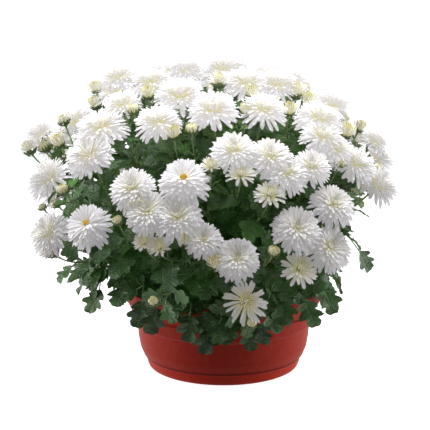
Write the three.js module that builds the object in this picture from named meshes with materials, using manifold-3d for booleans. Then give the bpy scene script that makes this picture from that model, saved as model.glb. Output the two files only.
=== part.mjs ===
// A pot chrysanthemum: white double spray chrysanthemums, grown as a dome in a plastic bowl pot.
// Millimetres, +Z up, front towards -Y. The origin is the centre of the pot's foot.
import * as THREE from 'three';
import { mergeVertices } from 'three/addons/utils/BufferGeometryUtils.js';
import Module from 'manifold-3d';

const wasm = await Module();
wasm.setup();

// ---------------------------------------------------------------- driving dimensions

const CLEARANCE = 0.4; // free space kept between neighbouring pieces
const SLIVER = 0.05; // faces narrower than this are merged away

// Pot: a 9 1/4 inch bowl with a foot band, a shoulder band and a rim band
const POT_HEIGHT = 98;
const FOOT_RADIUS = 84;
const HEEL = 6; // radius of the rounded heel
const FOOT_BAND_RADIUS = 91.8;
const FOOT_BAND_TOP = 13.5;
const BOWL_RADIUS = 94.4; // where the bowl starts, above the step over the foot band
const BOWL_SWELL = 7.2; // how much wider it is under the shoulder step
const SHOULDER_HEIGHT = 54;
const SHOULDER_BAND_RADIUS = 107.6;
const SHOULDER_BAND_TOP = 72;
const RIM_RADIUS = 117;
const RIM_BOTTOM = 86;
const STEP = 2.5; // height of each moulded step
const POT_SIDES = 36;
const WALL = 1.8;
const FLOOR = 2.2;
const DRAIN_HOLES = 8;
const DRAIN_RADIUS = 5;
const DRAIN_RING = 58;

// Soil
const SOIL_EDGE = 83; // height of the soil at the wall
const SOIL_CROWN = 87; // and in the middle

// Cuttings: each stands in the soil and forks into one branch for each of its sprays
const CUTTINGS = 5;
const CUTTING_RING = 52;
const CROWN_LEAN = 4; // how far a crown's top leans out from its foot
const FIRST_CUTTING = -Math.PI / 2;
const CROWN_RADIUS = 4.5;
const CROWN_FOOT = 62;
const CROWN_TOP = 116;
const FORK_LOWEST = 94;
const FORK_SPACING = 4.5;
const FORK_LEVELS = 5; // the forks start again from the lowest level after this many
const SHARING = 5; // how much further a spray's cutting may stand for each fork already on it
const BRANCH_RADIUS = 2.2;
const BRANCH_ARCH = 14; // how far a branch bows up between its fork and its spray
const LOWEST_SPRAY_BASE = 116; // keeps every branch clear over the rim

// Sprays
const STALK_RADIUS = 1.5;
const SPRAY_LENGTH = 72; // from the end of the branch to the heads
const STALK_BEND = 30; // length of the last stretch, which lines up with the flower
const STALK_SEAT = 4; // how deep a stalk runs into its head
const FACING_UP = 0.7; // how much an open flower turns up from square to the dome
const YOUNG_FACING_UP = 1.2; // the same for a half-open head or a bud

// Leaves
const LEAF_LENGTH = 48;
const LEAF_WIDTH = 38;
const LEAF_THICKNESS = 1.6;
const LEAF_PLACE = 0.62; // how far along its branch a leaf grows
const LEAF_SPREAD = 0.8; // its lean to the side, against the lean outwards
const LEAF_OUT = 0.7;
const LEAF_RISE = 0.15;
const SKIRT_OUT = 0.45; // a skirt leaf's lean outwards, against its droop
const SKIRT_DROOP = 0.9;
const PETIOLE_RADIUS = 1.2;
const PETIOLE_OVER_RIM = 12; // how high a skirt leaf's petiole passes over the rim
const PETIOLE_SEAT = 3; // how far it runs on into the blade

// The dome that the heads lie on, and the skirt that the lowest leaves hang on
const DOME = { centre: new THREE.Vector3(-12, 0, 180), axes: new THREE.Vector3(212, 205, 172) };
const SKIRT = { centre: new THREE.Vector3(-4, 0, 92), axes: new THREE.Vector3(166, 140, 90) };

// The charts below give each head as it is seen from a point far out on one side: how far across
// and how far up its middle shows, on a plane through the pot's axis or, from above, on the top.
const X = new THREE.Vector3(1, 0, 0);
const Y = new THREE.Vector3(0, 1, 0);
const Z = new THREE.Vector3(0, 0, 1);
const FRONT = { eye: new THREE.Vector3(-10, -1620, 526), across: X, up: Z, level: 0 };
const BACK = { eye: new THREE.Vector3(-10, 1620, 526), across: X, up: Z, level: 0 };
const RIGHT = { eye: new THREE.Vector3(1620, 0, 526), across: Y, up: Z, level: 0 };
const LEFT = { eye: new THREE.Vector3(-1620, 0, 526), across: Y, up: Z, level: 0 };
const ABOVE = { eye: new THREE.Vector3(-12, 0, 2000), across: X, up: Y, level: 350 };

// Stages of a head, with the profile of its solid as [share of its radius, height] from the
// stalk up. Each profile starts and ends on the axis.
const OPEN = { sides: 8, profile: [[0, -10], [1, -1], [0, 11]] };
const HALF = { sides: 6, profile: [[0, -9], [1, 6], [0, 13]] };
const BUD = { sides: 5, profile: [[0, -6], [1, 1], [0, 7]] };
const HEAD_REACH = 0.92; // the solid's share of a head's full radius

// Each spray is a list of heads as [across, up, diameter, stage, how far it sits inside the dome].
const SPRAYS = [
  [FRONT, [-41, 350, 42, OPEN], [-1, 353, 36, OPEN]],
  [FRONT, [-121, 342, 51, OPEN], [-147, 330, 19, HALF], [-83, 337, 54, OPEN], [-87, 324, 21, HALF]],
  [FRONT, [-50, 321, 65, OPEN], [-37, 282, 14, BUD]],
  [FRONT, [-12, 304, 63, OPEN], [-5, 337, 30, HALF]],
  [FRONT, [-116, 311, 47, OPEN], [-104, 305, 14, BUD], [-141, 285, 65, OPEN]],
  [FRONT, [-76, 291, 58, OPEN], [-58, 278, 21, HALF]],
  [FRONT, [-211, 277, 42, OPEN], [-185, 293, 26, HALF], [-225, 259, 28, HALF],
    [-208, 261, 14, BUD], [-191, 268, 21, HALF]],
  [FRONT, [-156, 252, 61, OPEN], [-187, 211, 14, BUD]],
  [FRONT, [-203, 225, 58, OPEN], [-212, 190, 9, BUD]],
  [FRONT, [-106, 212, 58, OPEN], [-101, 197, 28, HALF]],
  [FRONT, [-46, 221, 64, OPEN], [-15, 238, 26, HALF]],
  [FRONT, [-158, 168, 58, OPEN], [-124, 174, 12, BUD]],
  [FRONT, [-88, 185, 58, OPEN], [-93, 147, 28, HALF], [-83, 76, 12, BUD]],
  [FRONT, [-54, 178, 62, OPEN], [-75, 141, 30, HALF]],
  [FRONT, [-204, 160, 56, OPEN], [-202, 138, 30, HALF]],
  [FRONT, [-23, 151, 46, OPEN], [-45, 154, 28, HALF], [-9, 125, 28, HALF]],
  [FRONT, [25, 336, 56, OPEN], [32, 325, 21, HALF]],
  [FRONT, [61, 334, 56, OPEN], [76, 305, 21, HALF], [83, 325, 33, HALF], [97, 316, 23, HALF]],
  [FRONT, [46, 305, 58, OPEN], [25, 305, 18, HALF]],
  [FRONT, [110, 295, 61, OPEN], [125, 311, 47, OPEN]],
  [FRONT, [113, 273, 54, OPEN], [101, 238, 51, OPEN]],
  [FRONT, [142, 280, 23, HALF], [157, 285, 19, HALF], [174, 268, 40, OPEN], [179, 237, 9, BUD]],
  [FRONT, [128, 259, 51, OPEN], [135, 243, 14, BUD], [153, 242, 56, OPEN]],
  [FRONT, [12, 257, 58, OPEN], [20, 229, 33, HALF]],
  [FRONT, [54, 250, 56, OPEN], [72, 231, 58, OPEN], [54, 205, 35, HALF]],
  [FRONT, [128, 194, 58, OPEN], [179, 216, 54, OPEN]],
  [FRONT, [86, 165, 61, OPEN], [59, 137, 14, BUD]],
  [FRONT, [124, 142, 58, OPEN], [90, 116, 47, HALF]],
  [FRONT, [16, 129, 55, OPEN], [27, 76, 55, OPEN], [33, 49, 12, BUD]],
  [RIGHT, [45, 205, 54, OPEN], [84, 225, 26, HALF]],
  [RIGHT, [5, 160, 56, OPEN, 60], [-30, 184, 24, HALF, 40]],
  [RIGHT, [62, 138, 54, OPEN, 60], [28, 116, 26, HALF, 62]],
  [BACK, [-70, 344, 50, OPEN], [-128, 322, 54, OPEN], [-100, 334, 22, HALF]],
  [BACK, [10, 344, 54, OPEN], [-40, 326, 24, HALF], [52, 336, 16, BUD]],
  [BACK, [80, 330, 52, OPEN], [128, 296, 56, OPEN], [100, 312, 22, HALF]],
  [BACK, [-100, 292, 60, OPEN], [-72, 306, 14, BUD]],
  [BACK, [-8, 304, 62, OPEN], [18, 282, 26, HALF]],
  [BACK, [52, 292, 58, OPEN], [84, 284, 28, HALF]],
  [BACK, [-178, 282, 54, OPEN], [-206, 262, 26, HALF], [-152, 306, 22, HALF]],
  [BACK, [-142, 246, 60, OPEN], [-112, 232, 14, BUD], [-98, 190, 60, OPEN]],
  [BACK, [-66, 248, 62, OPEN], [-38, 226, 28, HALF]],
  [BACK, [16, 240, 60, OPEN], [50, 232, 14, BUD]],
  [BACK, [90, 240, 60, OPEN], [130, 244, 26, HALF], [110, 190, 50, OPEN]],
  [BACK, [160, 244, 56, OPEN], [182, 214, 26, HALF], [150, 274, 20, HALF]],
  [BACK, [-202, 216, 56, OPEN], [-172, 196, 28, HALF], [-152, 154, 58, OPEN]],
  [BACK, [-20, 180, 62, OPEN], [-60, 182, 28, HALF], [-84, 124, 56, OPEN]],
  [BACK, [62, 172, 58, OPEN], [30, 186, 14, BUD], [30, 116, 58, OPEN]],
  [BACK, [104, 130, 56, OPEN], [138, 160, 30, HALF, 20]],
  [LEFT, [40, 222, 54, OPEN], [70, 246, 24, HALF]],
  [LEFT, [22, 172, 54, OPEN, 8], [64, 190, 26, HALF]],
  [LEFT, [78, 150, 54, OPEN, 10], [50, 134, 14, BUD, 20]],
  [ABOVE, [-2, 6, 58, OPEN], [-44, -4, 50, OPEN]],
  [ABOVE, [50, 0, 56, OPEN], [26, -34, 22, HALF]],
];

// The lowest leaves, charted like the heads, as [across, up, length].
const SKIRT_LEAVES = [
  [FRONT, [-150, 80, 40], [-118, 90, 42], [-98, 65, 40], [-81, 57, 40], [-41, 48, 40],
    [-19, 34, 42], [-5, 42, 34], [11, 38, 28], [31, 35, 36], [45, 40, 32], [56, 57, 38],
    [71, 70, 44], [100, 66, 42], [123, 82, 42], [164, 128, 38]],
  [RIGHT, [-84, 84, 40], [-58, 68, 42], [-28, 84, 42], [4, 66, 40], [36, 80, 44], [64, 66, 42]],
  [BACK, [-118, 70, 44], [-92, 56, 42], [-66, 64, 44], [-38, 46, 42], [-12, 60, 44],
    [16, 48, 42], [44, 62, 42], [70, 50, 44], [96, 66, 42], [120, 78, 42]],
  [LEFT, [-74, 80, 42], [-40, 66, 42], [-8, 84, 44], [26, 68, 42], [58, 80, 42], [84, 92, 40]],
];

// ---------------------------------------------------------------- placing by the charts

// The point of an ellipsoid where the line of sight first meets it, or, for a sight line that
// just misses it, the point of that line nearest to it.
function seenOn({ centre, axes }, view, across, up) {
  const start = view.eye.clone().sub(centre).divide(axes);
  const shown = new THREE.Vector3(0, 0, view.level);
  shown.addScaledVector(view.across, across).addScaledVector(view.up, up);
  const sight = shown.sub(view.eye);
  const scaled = sight.clone().divide(axes);
  const along = start.dot(scaled);
  const reach = scaled.lengthSq();
  const root = Math.sqrt(Math.max(0, along * along - reach * (start.lengthSq() - 1)));
  return view.eye.clone().addScaledVector(sight, (-along - root) / reach);
}

// The same point moved some way in towards the dome's centre.
function movedIn(point, distance) {
  const inward = DOME.centre.clone().sub(point).setLength(distance);
  return point.clone().add(inward);
}

// The way a head at this point of the dome faces: square to the dome, then turned upwards.
function facingAt(point, stage) {
  const square = point.clone().sub(DOME.centre).divide(DOME.axes).divide(DOME.axes).normalize();
  const rise = stage === OPEN ? FACING_UP : YOUNG_FACING_UP;
  return square.add(new THREE.Vector3(0, 0, rise)).normalize();
}

// ---------------------------------------------------------------- solids

function toSolid(geometry) {
  geometry.deleteAttribute('normal');
  geometry.deleteAttribute('uv');
  const merged = mergeVertices(geometry);
  const vertProperties = merged.attributes.position.array;
  const triVerts = new Uint32Array(merged.index.array);
  return new wasm.Manifold(new wasm.Mesh({ numProp: 3, vertProperties, triVerts }));
}

// A geometry built up its own Z axis, stood on a point with Z along a direction.
function standOn(geometry, point, direction) {
  const turn = new THREE.Quaternion().setFromUnitVectors(Z, direction);
  return geometry.applyQuaternion(turn).translate(point.x, point.y, point.z);
}

// A solid of revolution about +Z. The profile runs as [radius, height] up its outside.
function turned(profile, sides) {
  const points = profile.map(([radius, height]) => new THREE.Vector2(radius, height));
  return new THREE.LatheGeometry(points, sides).rotateX(Math.PI / 2);
}

// A stem along a curve, with a section of a few sides. Every side moves out by grow.
function bar(curve, radius, grow, sides, steps) {
  const corner = radius + grow / Math.cos(Math.PI / sides);
  const section = new THREE.Shape();
  section.moveTo(corner, 0);
  for (let i = 1; i < sides; i++) {
    const angle = (2 * Math.PI * i) / sides;
    section.lineTo(corner * Math.cos(angle), corner * Math.sin(angle));
  }
  section.closePath();
  return toSolid(new THREE.ExtrudeGeometry(section, { steps, extrudePath: curve }));
}

// A head's flat cones grow twice as far across as up, so that their faces move out by grow.
function headSolid(head, grow) {
  const radius = HEAD_REACH * head.diameter / 2;
  const last = head.stage.profile.length - 1;
  const profile = head.stage.profile.map(([share, height], i) => [
    share * (radius + 2 * grow),
    height + (i === 0 ? -grow : 0) + (i === last ? grow : 0),
  ]);
  return toSolid(standOn(turned(profile, head.stage.sides), head.point, head.facing));
}

// A lobed leaf blade in the plane of its direction and its side.
function leafSolid(leaf, grow) {
  const half = LEAF_WIDTH / LEAF_LENGTH * leaf.length / 2;
  const outline = [[0, 0.12], [0.4, 0.9], [0.78, 0.75]].map(
    ([along, aside]) => [along * leaf.length, aside * half],
  );
  const blade = new THREE.Shape();
  blade.moveTo(-grow, outline[0][1] + grow);
  for (const [along, aside] of outline) blade.lineTo(along, aside + grow);
  blade.lineTo(leaf.length + grow, 0);
  for (const [along, aside] of outline.reverse()) blade.lineTo(along, -aside - grow);
  blade.lineTo(-grow, -outline.at(-1)[1] - grow);
  blade.closePath();
  const thickness = LEAF_THICKNESS + 2 * grow;
  const plate = new THREE.ExtrudeGeometry(blade, { depth: thickness, bevelEnabled: false });
  plate.translate(0, 0, -thickness / 2);
  const side = new THREE.Vector3().crossVectors(leaf.face, leaf.direction).normalize();
  const face = new THREE.Vector3().crossVectors(leaf.direction, side);
  const place = new THREE.Matrix4().makeBasis(leaf.direction, side, face).setPosition(leaf.base);
  return toSolid(plate.applyMatrix4(place));
}

// ---------------------------------------------------------------- keeping the pieces apart

const settled = [];

function boxesMeet(one, other) {
  return [0, 1, 2].every((i) => one.min[i] < other.max[i] && other.min[i] < one.max[i]);
}

// Makes a solid and trims it back from what other pieces already fill. make(grow) gives the
// solid swollen by grow. Only the largest piece that is left is kept.
function settle(owner, make) {
  const swollen = make(CLEARANCE);
  const box = swollen.boundingBox();
  let solid = make(0);
  for (const other of settled) {
    if (other.owner !== owner && boxesMeet(box, other.box)) solid = solid.subtract(other.swollen);
  }
  settled.push({ owner, swollen, box });
  return largestPiece(solid);
}

function largestPiece(solid) {
  const pieces = solid.decompose();
  return pieces.reduce((best, piece) => (piece.volume() > best.volume() ? piece : best));
}

// Merges the slivers and the coplanar faces that joins and cuts leave.
function cleaned(solid) {
  return solid.asOriginal().simplify(SLIVER);
}

function joined(solids) {
  return solids.reduce((whole, solid) => whole.add(solid));
}

// ---------------------------------------------------------------- pot and soil

// The outside of the pot, up from the foot, as [radius, height].
const POT_OUTSIDE = [
  [FOOT_RADIUS, 0],
  [FOOT_RADIUS + HEEL * Math.SQRT1_2, HEEL * (1 - Math.SQRT1_2)],
  [FOOT_RADIUS + HEEL, HEEL],
  [FOOT_BAND_RADIUS, FOOT_BAND_TOP],
  [BOWL_RADIUS, FOOT_BAND_TOP + STEP],
  [BOWL_RADIUS + 0.55 * BOWL_SWELL, FOOT_BAND_TOP + 5 * STEP],
  [BOWL_RADIUS + 0.85 * BOWL_SWELL, FOOT_BAND_TOP + 10 * STEP],
  [BOWL_RADIUS + BOWL_SWELL, SHOULDER_HEIGHT],
  [SHOULDER_BAND_RADIUS - STEP, SHOULDER_HEIGHT + STEP],
  [SHOULDER_BAND_RADIUS, SHOULDER_HEIGHT + 3 * STEP],
  [SHOULDER_BAND_RADIUS + 1, SHOULDER_BAND_TOP],
  [RIM_RADIUS - STEP, RIM_BOTTOM - 1.6 * STEP],
  [RIM_RADIUS, RIM_BOTTOM],
  [RIM_RADIUS, POT_HEIGHT - STEP],
  [RIM_RADIUS - 0.3 * WALL, POT_HEIGHT],
];

// The inside, up from the floor: smoother than the outside, a wall's thickness or more further in.
const POT_INSIDE = [
  [FOOT_RADIUS, FLOOR],
  [FOOT_BAND_RADIUS - WALL, FOOT_BAND_TOP],
  [BOWL_RADIUS + BOWL_SWELL - 1.2 * WALL, SHOULDER_HEIGHT],
  [SHOULDER_BAND_RADIUS - WALL, SHOULDER_BAND_TOP],
  [RIM_RADIUS - 1.3 * WALL, RIM_BOTTOM],
  [RIM_RADIUS - WALL, POT_HEIGHT],
];

function potInside(margin) {
  return POT_INSIDE.map(([radius, height], i) => [radius - margin, height + (i === 0 ? margin : 0)]);
}

function potSolid(grow) {
  const outside = POT_OUTSIDE.map(([radius, height]) => [radius + grow, height]);
  const inside = potInside(grow).reverse();
  return toSolid(turned([[0, -grow], ...outside, ...inside, [0, FLOOR + grow]], POT_SIDES));
}

function drainHole(index) {
  const angle = (2 * Math.PI * (index + 0.5)) / DRAIN_HOLES;
  const hole = new THREE.CylinderGeometry(DRAIN_RADIUS, DRAIN_RADIUS, 4 * FLOOR, 12);
  hole.rotateX(Math.PI / 2);
  return toSolid(hole.translate(DRAIN_RING * Math.cos(angle), DRAIN_RING * Math.sin(angle), 0));
}

function drainedPot() {
  const holes = Array.from({ length: DRAIN_HOLES }, (_, index) => drainHole(index));
  return holes.reduce((pot, hole) => pot.subtract(hole), potSolid(0));
}

function soilSolid() {
  const inside = potInside(CLEARANCE);
  const above = inside.findIndex(([, height]) => height > SOIL_EDGE);
  const [[lowRadius, low], [highRadius, high]] = inside.slice(above - 1, above + 1);
  const edge = lowRadius + ((highRadius - lowRadius) * (SOIL_EDGE - low)) / (high - low);
  const wall = [...inside.slice(0, above), [edge, SOIL_EDGE]];
  return toSolid(turned([[0, FLOOR + CLEARANCE], ...wall, [0, SOIL_CROWN]], POT_SIDES));
}

// ---------------------------------------------------------------- plan of the plant

function crownOf(index) {
  const angle = FIRST_CUTTING + (2 * Math.PI * index) / CUTTINGS;
  const out = new THREE.Vector3(Math.cos(angle), Math.sin(angle), 0);
  return {
    out,
    foot: out.clone().multiplyScalar(CUTTING_RING).setZ(CROWN_FOOT),
    top: out.clone().multiplyScalar(CUTTING_RING + CROWN_LEAN).setZ(CROWN_TOP),
    forks: 0,
  };
}

const crowns = Array.from({ length: CUTTINGS }, (_, index) => crownOf(index));

function middleOf(points) {
  const sum = points.reduce((total, point) => total.add(point), new THREE.Vector3());
  return sum.divideScalar(points.length);
}

// A spray's heads in space, the cutting that bears it, and the branch that leads to it.
function planSpray([view, ...rows]) {
  const heads = rows.map(([across, up, diameter, stage, inside = 0]) => {
    const point = movedIn(seenOn(DOME, view, across, up), inside);
    return { point, facing: facingAt(point, stage), diameter, stage };
  });
  const middle = middleOf(heads.map((head) => head.point));
  const gap = ({ top, forks }) => {
    return Math.hypot(top.x - middle.x, top.y - middle.y) + SHARING * forks;
  };
  const crown = crowns.reduce((best, each) => (gap(each) < gap(best) ? each : best));
  const height = FORK_LOWEST + FORK_SPACING * (crown.forks % FORK_LEVELS);
  crown.forks += 1;
  const share = (height - CROWN_FOOT) / (CROWN_TOP - CROWN_FOOT);
  const fork = crown.foot.clone().lerp(crown.top, share);
  const way = fork.clone().sub(middle);
  const base = middle.clone().addScaledVector(way, SPRAY_LENGTH / way.length());
  base.z = Math.max(base.z, LOWEST_SPRAY_BASE);
  const bow = fork.clone().add(base).multiplyScalar(0.5).addScaledVector(crown.out, BRANCH_ARCH / 2);
  bow.z += BRANCH_ARCH;
  return { heads, crown, base, branch: new THREE.QuadraticBezierCurve3(fork, bow, base) };
}

const sprays = SPRAYS.map(planSpray);

// The leaf that a branch bears past its middle, on alternate sides from branch to branch.
function branchLeaf(spray, index) {
  const base = spray.branch.getPoint(LEAF_PLACE);
  const along = spray.branch.getTangent(LEAF_PLACE);
  const out = base.clone().sub(DOME.centre).setZ(0).normalize();
  const side = new THREE.Vector3().crossVectors(along, out).normalize();
  const direction = side.multiplyScalar(index % 2 ? LEAF_SPREAD : -LEAF_SPREAD);
  direction.addScaledVector(out, LEAF_OUT).addScaledVector(Z, LEAF_RISE).normalize();
  return { base, direction, face: Z, length: LEAF_LENGTH, crown: spray.crown };
}

// A skirt leaf hangs outside the rim on a petiole from the nearest point of a branch.
function skirtLeaf(view, [across, up, length]) {
  const middle = seenOn(SKIRT, view, across, up);
  const out = middle.clone().sub(SKIRT.centre).setZ(0).normalize();
  const direction = out.clone().multiplyScalar(SKIRT_OUT).setZ(-SKIRT_DROOP).normalize();
  const base = middle.clone().addScaledVector(direction, -length / 2);
  let nearest = { gap: Infinity };
  for (const spray of sprays) {
    for (const share of [0.5, 0.65, 0.8, 0.95]) {
      const point = spray.branch.getPoint(share);
      const gap = point.distanceTo(base);
      if (point.z > base.z && gap < nearest.gap) nearest = { gap, point, crown: spray.crown };
    }
  }
  return { base, direction, face: out, length, stemPoint: nearest.point, crown: nearest.crown };
}

const skirt = SKIRT_LEAVES.flatMap(([view, ...rows]) => rows.map((row) => skirtLeaf(view, row)));

// ---------------------------------------------------------------- plant solids

// A crown with its branches, before the leaves.
function frameworkSolid(crown, grow) {
  const end = crown.top.clone().setZ(CROWN_TOP + grow);
  const foot = crown.foot.clone().setZ(CROWN_FOOT - grow);
  const trunk = bar(new THREE.LineCurve3(foot, end), CROWN_RADIUS, grow, 6, 1);
  const branches = sprays.filter((spray) => spray.crown === crown).map(({ branch }) => {
    const tip = branch.v2.clone().addScaledVector(branch.getTangent(1), grow);
    const curve = new THREE.QuadraticBezierCurve3(branch.v0, branch.v1, tip);
    return bar(curve, BRANCH_RADIUS, grow, 4, 3);
  });
  return joined([trunk, ...branches]);
}

function leafOnStem(leaf, grow) {
  const blade = leafSolid(leaf, grow);
  if (!leaf.stemPoint) return blade;
  const bend = leaf.stemPoint.clone().lerp(leaf.base, 0.5);
  bend.z = Math.max(leaf.stemPoint.z, POT_HEIGHT + PETIOLE_OVER_RIM);
  const tip = leaf.base.clone().addScaledVector(leaf.direction, PETIOLE_SEAT);
  const curve = new THREE.QuadraticBezierCurve3(leaf.stemPoint, bend, tip);
  return blade.add(bar(curve, PETIOLE_RADIUS, grow, 3, 2));
}

function spraySolid(spray, grow) {
  const parts = spray.heads.map((head) => headSolid(head, grow));
  for (const head of spray.heads) {
    const seat = head.stage.profile[0][1] + STALK_SEAT;
    const neck = head.point.clone().addScaledVector(head.facing, seat);
    const bend = head.point.clone().addScaledVector(head.facing, -STALK_BEND);
    const curve = new THREE.QuadraticBezierCurve3(spray.base, bend, neck);
    parts.push(bar(curve, STALK_RADIUS, grow, 3, 2));
  }
  return joined(parts);
}

// ---------------------------------------------------------------- assembly

const TERRACOTTA = { color: 0xa5433a, roughness: 0.75, metalness: 0 };
const PEAT = { color: 0x2e2119, roughness: 1, metalness: 0 };
const FOLIAGE = { color: 0x35522f, roughness: 0.7, metalness: 0 };
const PETALS = { color: 0xf3f1ea, roughness: 0.6, metalness: 0 };

const plant = new THREE.Group();

// Adds a solid to the group as a named mesh whose own origin is the anchor point.
function addPiece(name, solid, anchor, finish) {
  const local = largestPiece(cleaned(solid)).translate(anchor.clone().negate().toArray());
  const { vertProperties, triVerts } = local.getMesh();
  const geometry = new THREE.BufferGeometry();
  geometry.setAttribute('position', new THREE.BufferAttribute(vertProperties, 3));
  geometry.setIndex(new THREE.BufferAttribute(triVerts, 1));
  const mesh = new THREE.Mesh(geometry, new THREE.MeshStandardMaterial(finish));
  mesh.name = name;
  mesh.position.copy(anchor);
  plant.add(mesh);
}

const centre = new THREE.Vector3();
settle('pot', potSolid);
addPiece('pot', drainedPot(), centre, TERRACOTTA);

const frameworks = crowns.map((crown) => settle(crown, (grow) => frameworkSolid(crown, grow)));
let soil = soilSolid();
for (const crown of crowns) soil = soil.subtract(frameworkSolid(crown, CLEARANCE));
addPiece('potting_soil', largestPiece(soil), centre, PEAT);

sprays.forEach((spray, index) => {
  const name = `flower_spray_${String(index + 1).padStart(2, '0')}`;
  addPiece(name, settle(spray, (grow) => spraySolid(spray, grow)), spray.base, PETALS);
});

const leaves = [...sprays.map(branchLeaf), ...skirt];
crowns.forEach((crown, index) => {
  let cutting = frameworks[index];
  for (const leaf of leaves.filter((each) => each.crown === crown)) {
    cutting = cutting.add(settle(crown, (grow) => leafOnStem(leaf, grow)));
  }
  addPiece(`cutting_${index + 1}`, largestPiece(cutting), crown.foot, FOLIAGE);
});

export default plant;
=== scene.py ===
"""A white spray chrysanthemum in a bowl pot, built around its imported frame.

Lengths are in metres, +Z up, front towards -Y. The origin is the centre of the pot's foot.
"""

import math
from collections import namedtuple

import bpy
import numpy as np
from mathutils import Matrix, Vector


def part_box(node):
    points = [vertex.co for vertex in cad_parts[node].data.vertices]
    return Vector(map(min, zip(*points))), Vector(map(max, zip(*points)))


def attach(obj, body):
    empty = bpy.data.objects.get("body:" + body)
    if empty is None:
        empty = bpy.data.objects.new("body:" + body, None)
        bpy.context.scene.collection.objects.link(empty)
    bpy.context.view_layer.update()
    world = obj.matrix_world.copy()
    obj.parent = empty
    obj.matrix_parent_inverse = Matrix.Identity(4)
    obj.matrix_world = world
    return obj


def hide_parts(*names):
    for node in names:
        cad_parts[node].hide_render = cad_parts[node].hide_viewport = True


bl_info = {
    "name": "Pot Chrysanthemum",
    "version": (1, 0, 0),
    "blender": (4, 5, 0),
    "location": "3D View > Sidebar > Plant",
    "description": "Builds the blooms, stems, leaves, pot and soil of a potted spray chrysanthemum",
    "category": "Object",
}

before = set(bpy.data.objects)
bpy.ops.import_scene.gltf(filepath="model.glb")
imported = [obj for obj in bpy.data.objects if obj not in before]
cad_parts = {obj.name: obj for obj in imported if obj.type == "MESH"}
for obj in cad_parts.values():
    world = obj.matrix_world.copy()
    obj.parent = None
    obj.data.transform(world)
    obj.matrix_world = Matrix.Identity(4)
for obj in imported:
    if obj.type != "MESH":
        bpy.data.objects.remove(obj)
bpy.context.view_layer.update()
POT_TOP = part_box("pot")[1][2]
SOIL_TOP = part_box("potting_soil")[1][2]

MM = 0.001
X = np.array([1.0, 0.0, 0.0])
Y = np.array([0.0, 1.0, 0.0])
Z = np.array([0.0, 0.0, 1.0])

# ---------- chart of the plant

# Each head is given as it shows to an eye far out on one side, in millimetres: how far across and
# how far up its middle lies, on a plane through the pot's axis or, from above, on a level plane,
# and how wide it looks there. The frame was drawn from the same chart.
View = namedtuple("View", "eye across up level")
FRONT = View((-10, -1620, 526), X, Z, 0)
BACK = View((-10, 1620, 526), X, Z, 0)
RIGHT = View((1620, 0, 526), Y, Z, 0)
LEFT = View((-1620, 0, 526), Y, Z, 0)
ABOVE = View((-12, 0, 2000), X, Y, 350)

# The ellipsoids that the heads and the lowest leaves lie on, in millimetres.
Form = namedtuple("Form", "centre axes")
DOME = Form(np.array([-12, 0, 180]), np.array([212, 205, 172]))
SKIRT = Form(np.array([-4, 0, 92]), np.array([166, 140, 90]))
NARROW_SKIRT = Form(SKIRT.centre, np.array([138, 140, 90]))

# How far a head is open. The eyed ones show their disc.
OPEN, EYED, LOOSE, SPREAD = "open", "eyed", "loose", "spreading"
BRUSH, HALF, TIGHT, BUD = "brush", "half open", "tight", "bud"
FULL_BLOWN = (OPEN, EYED, LOOSE)

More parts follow.
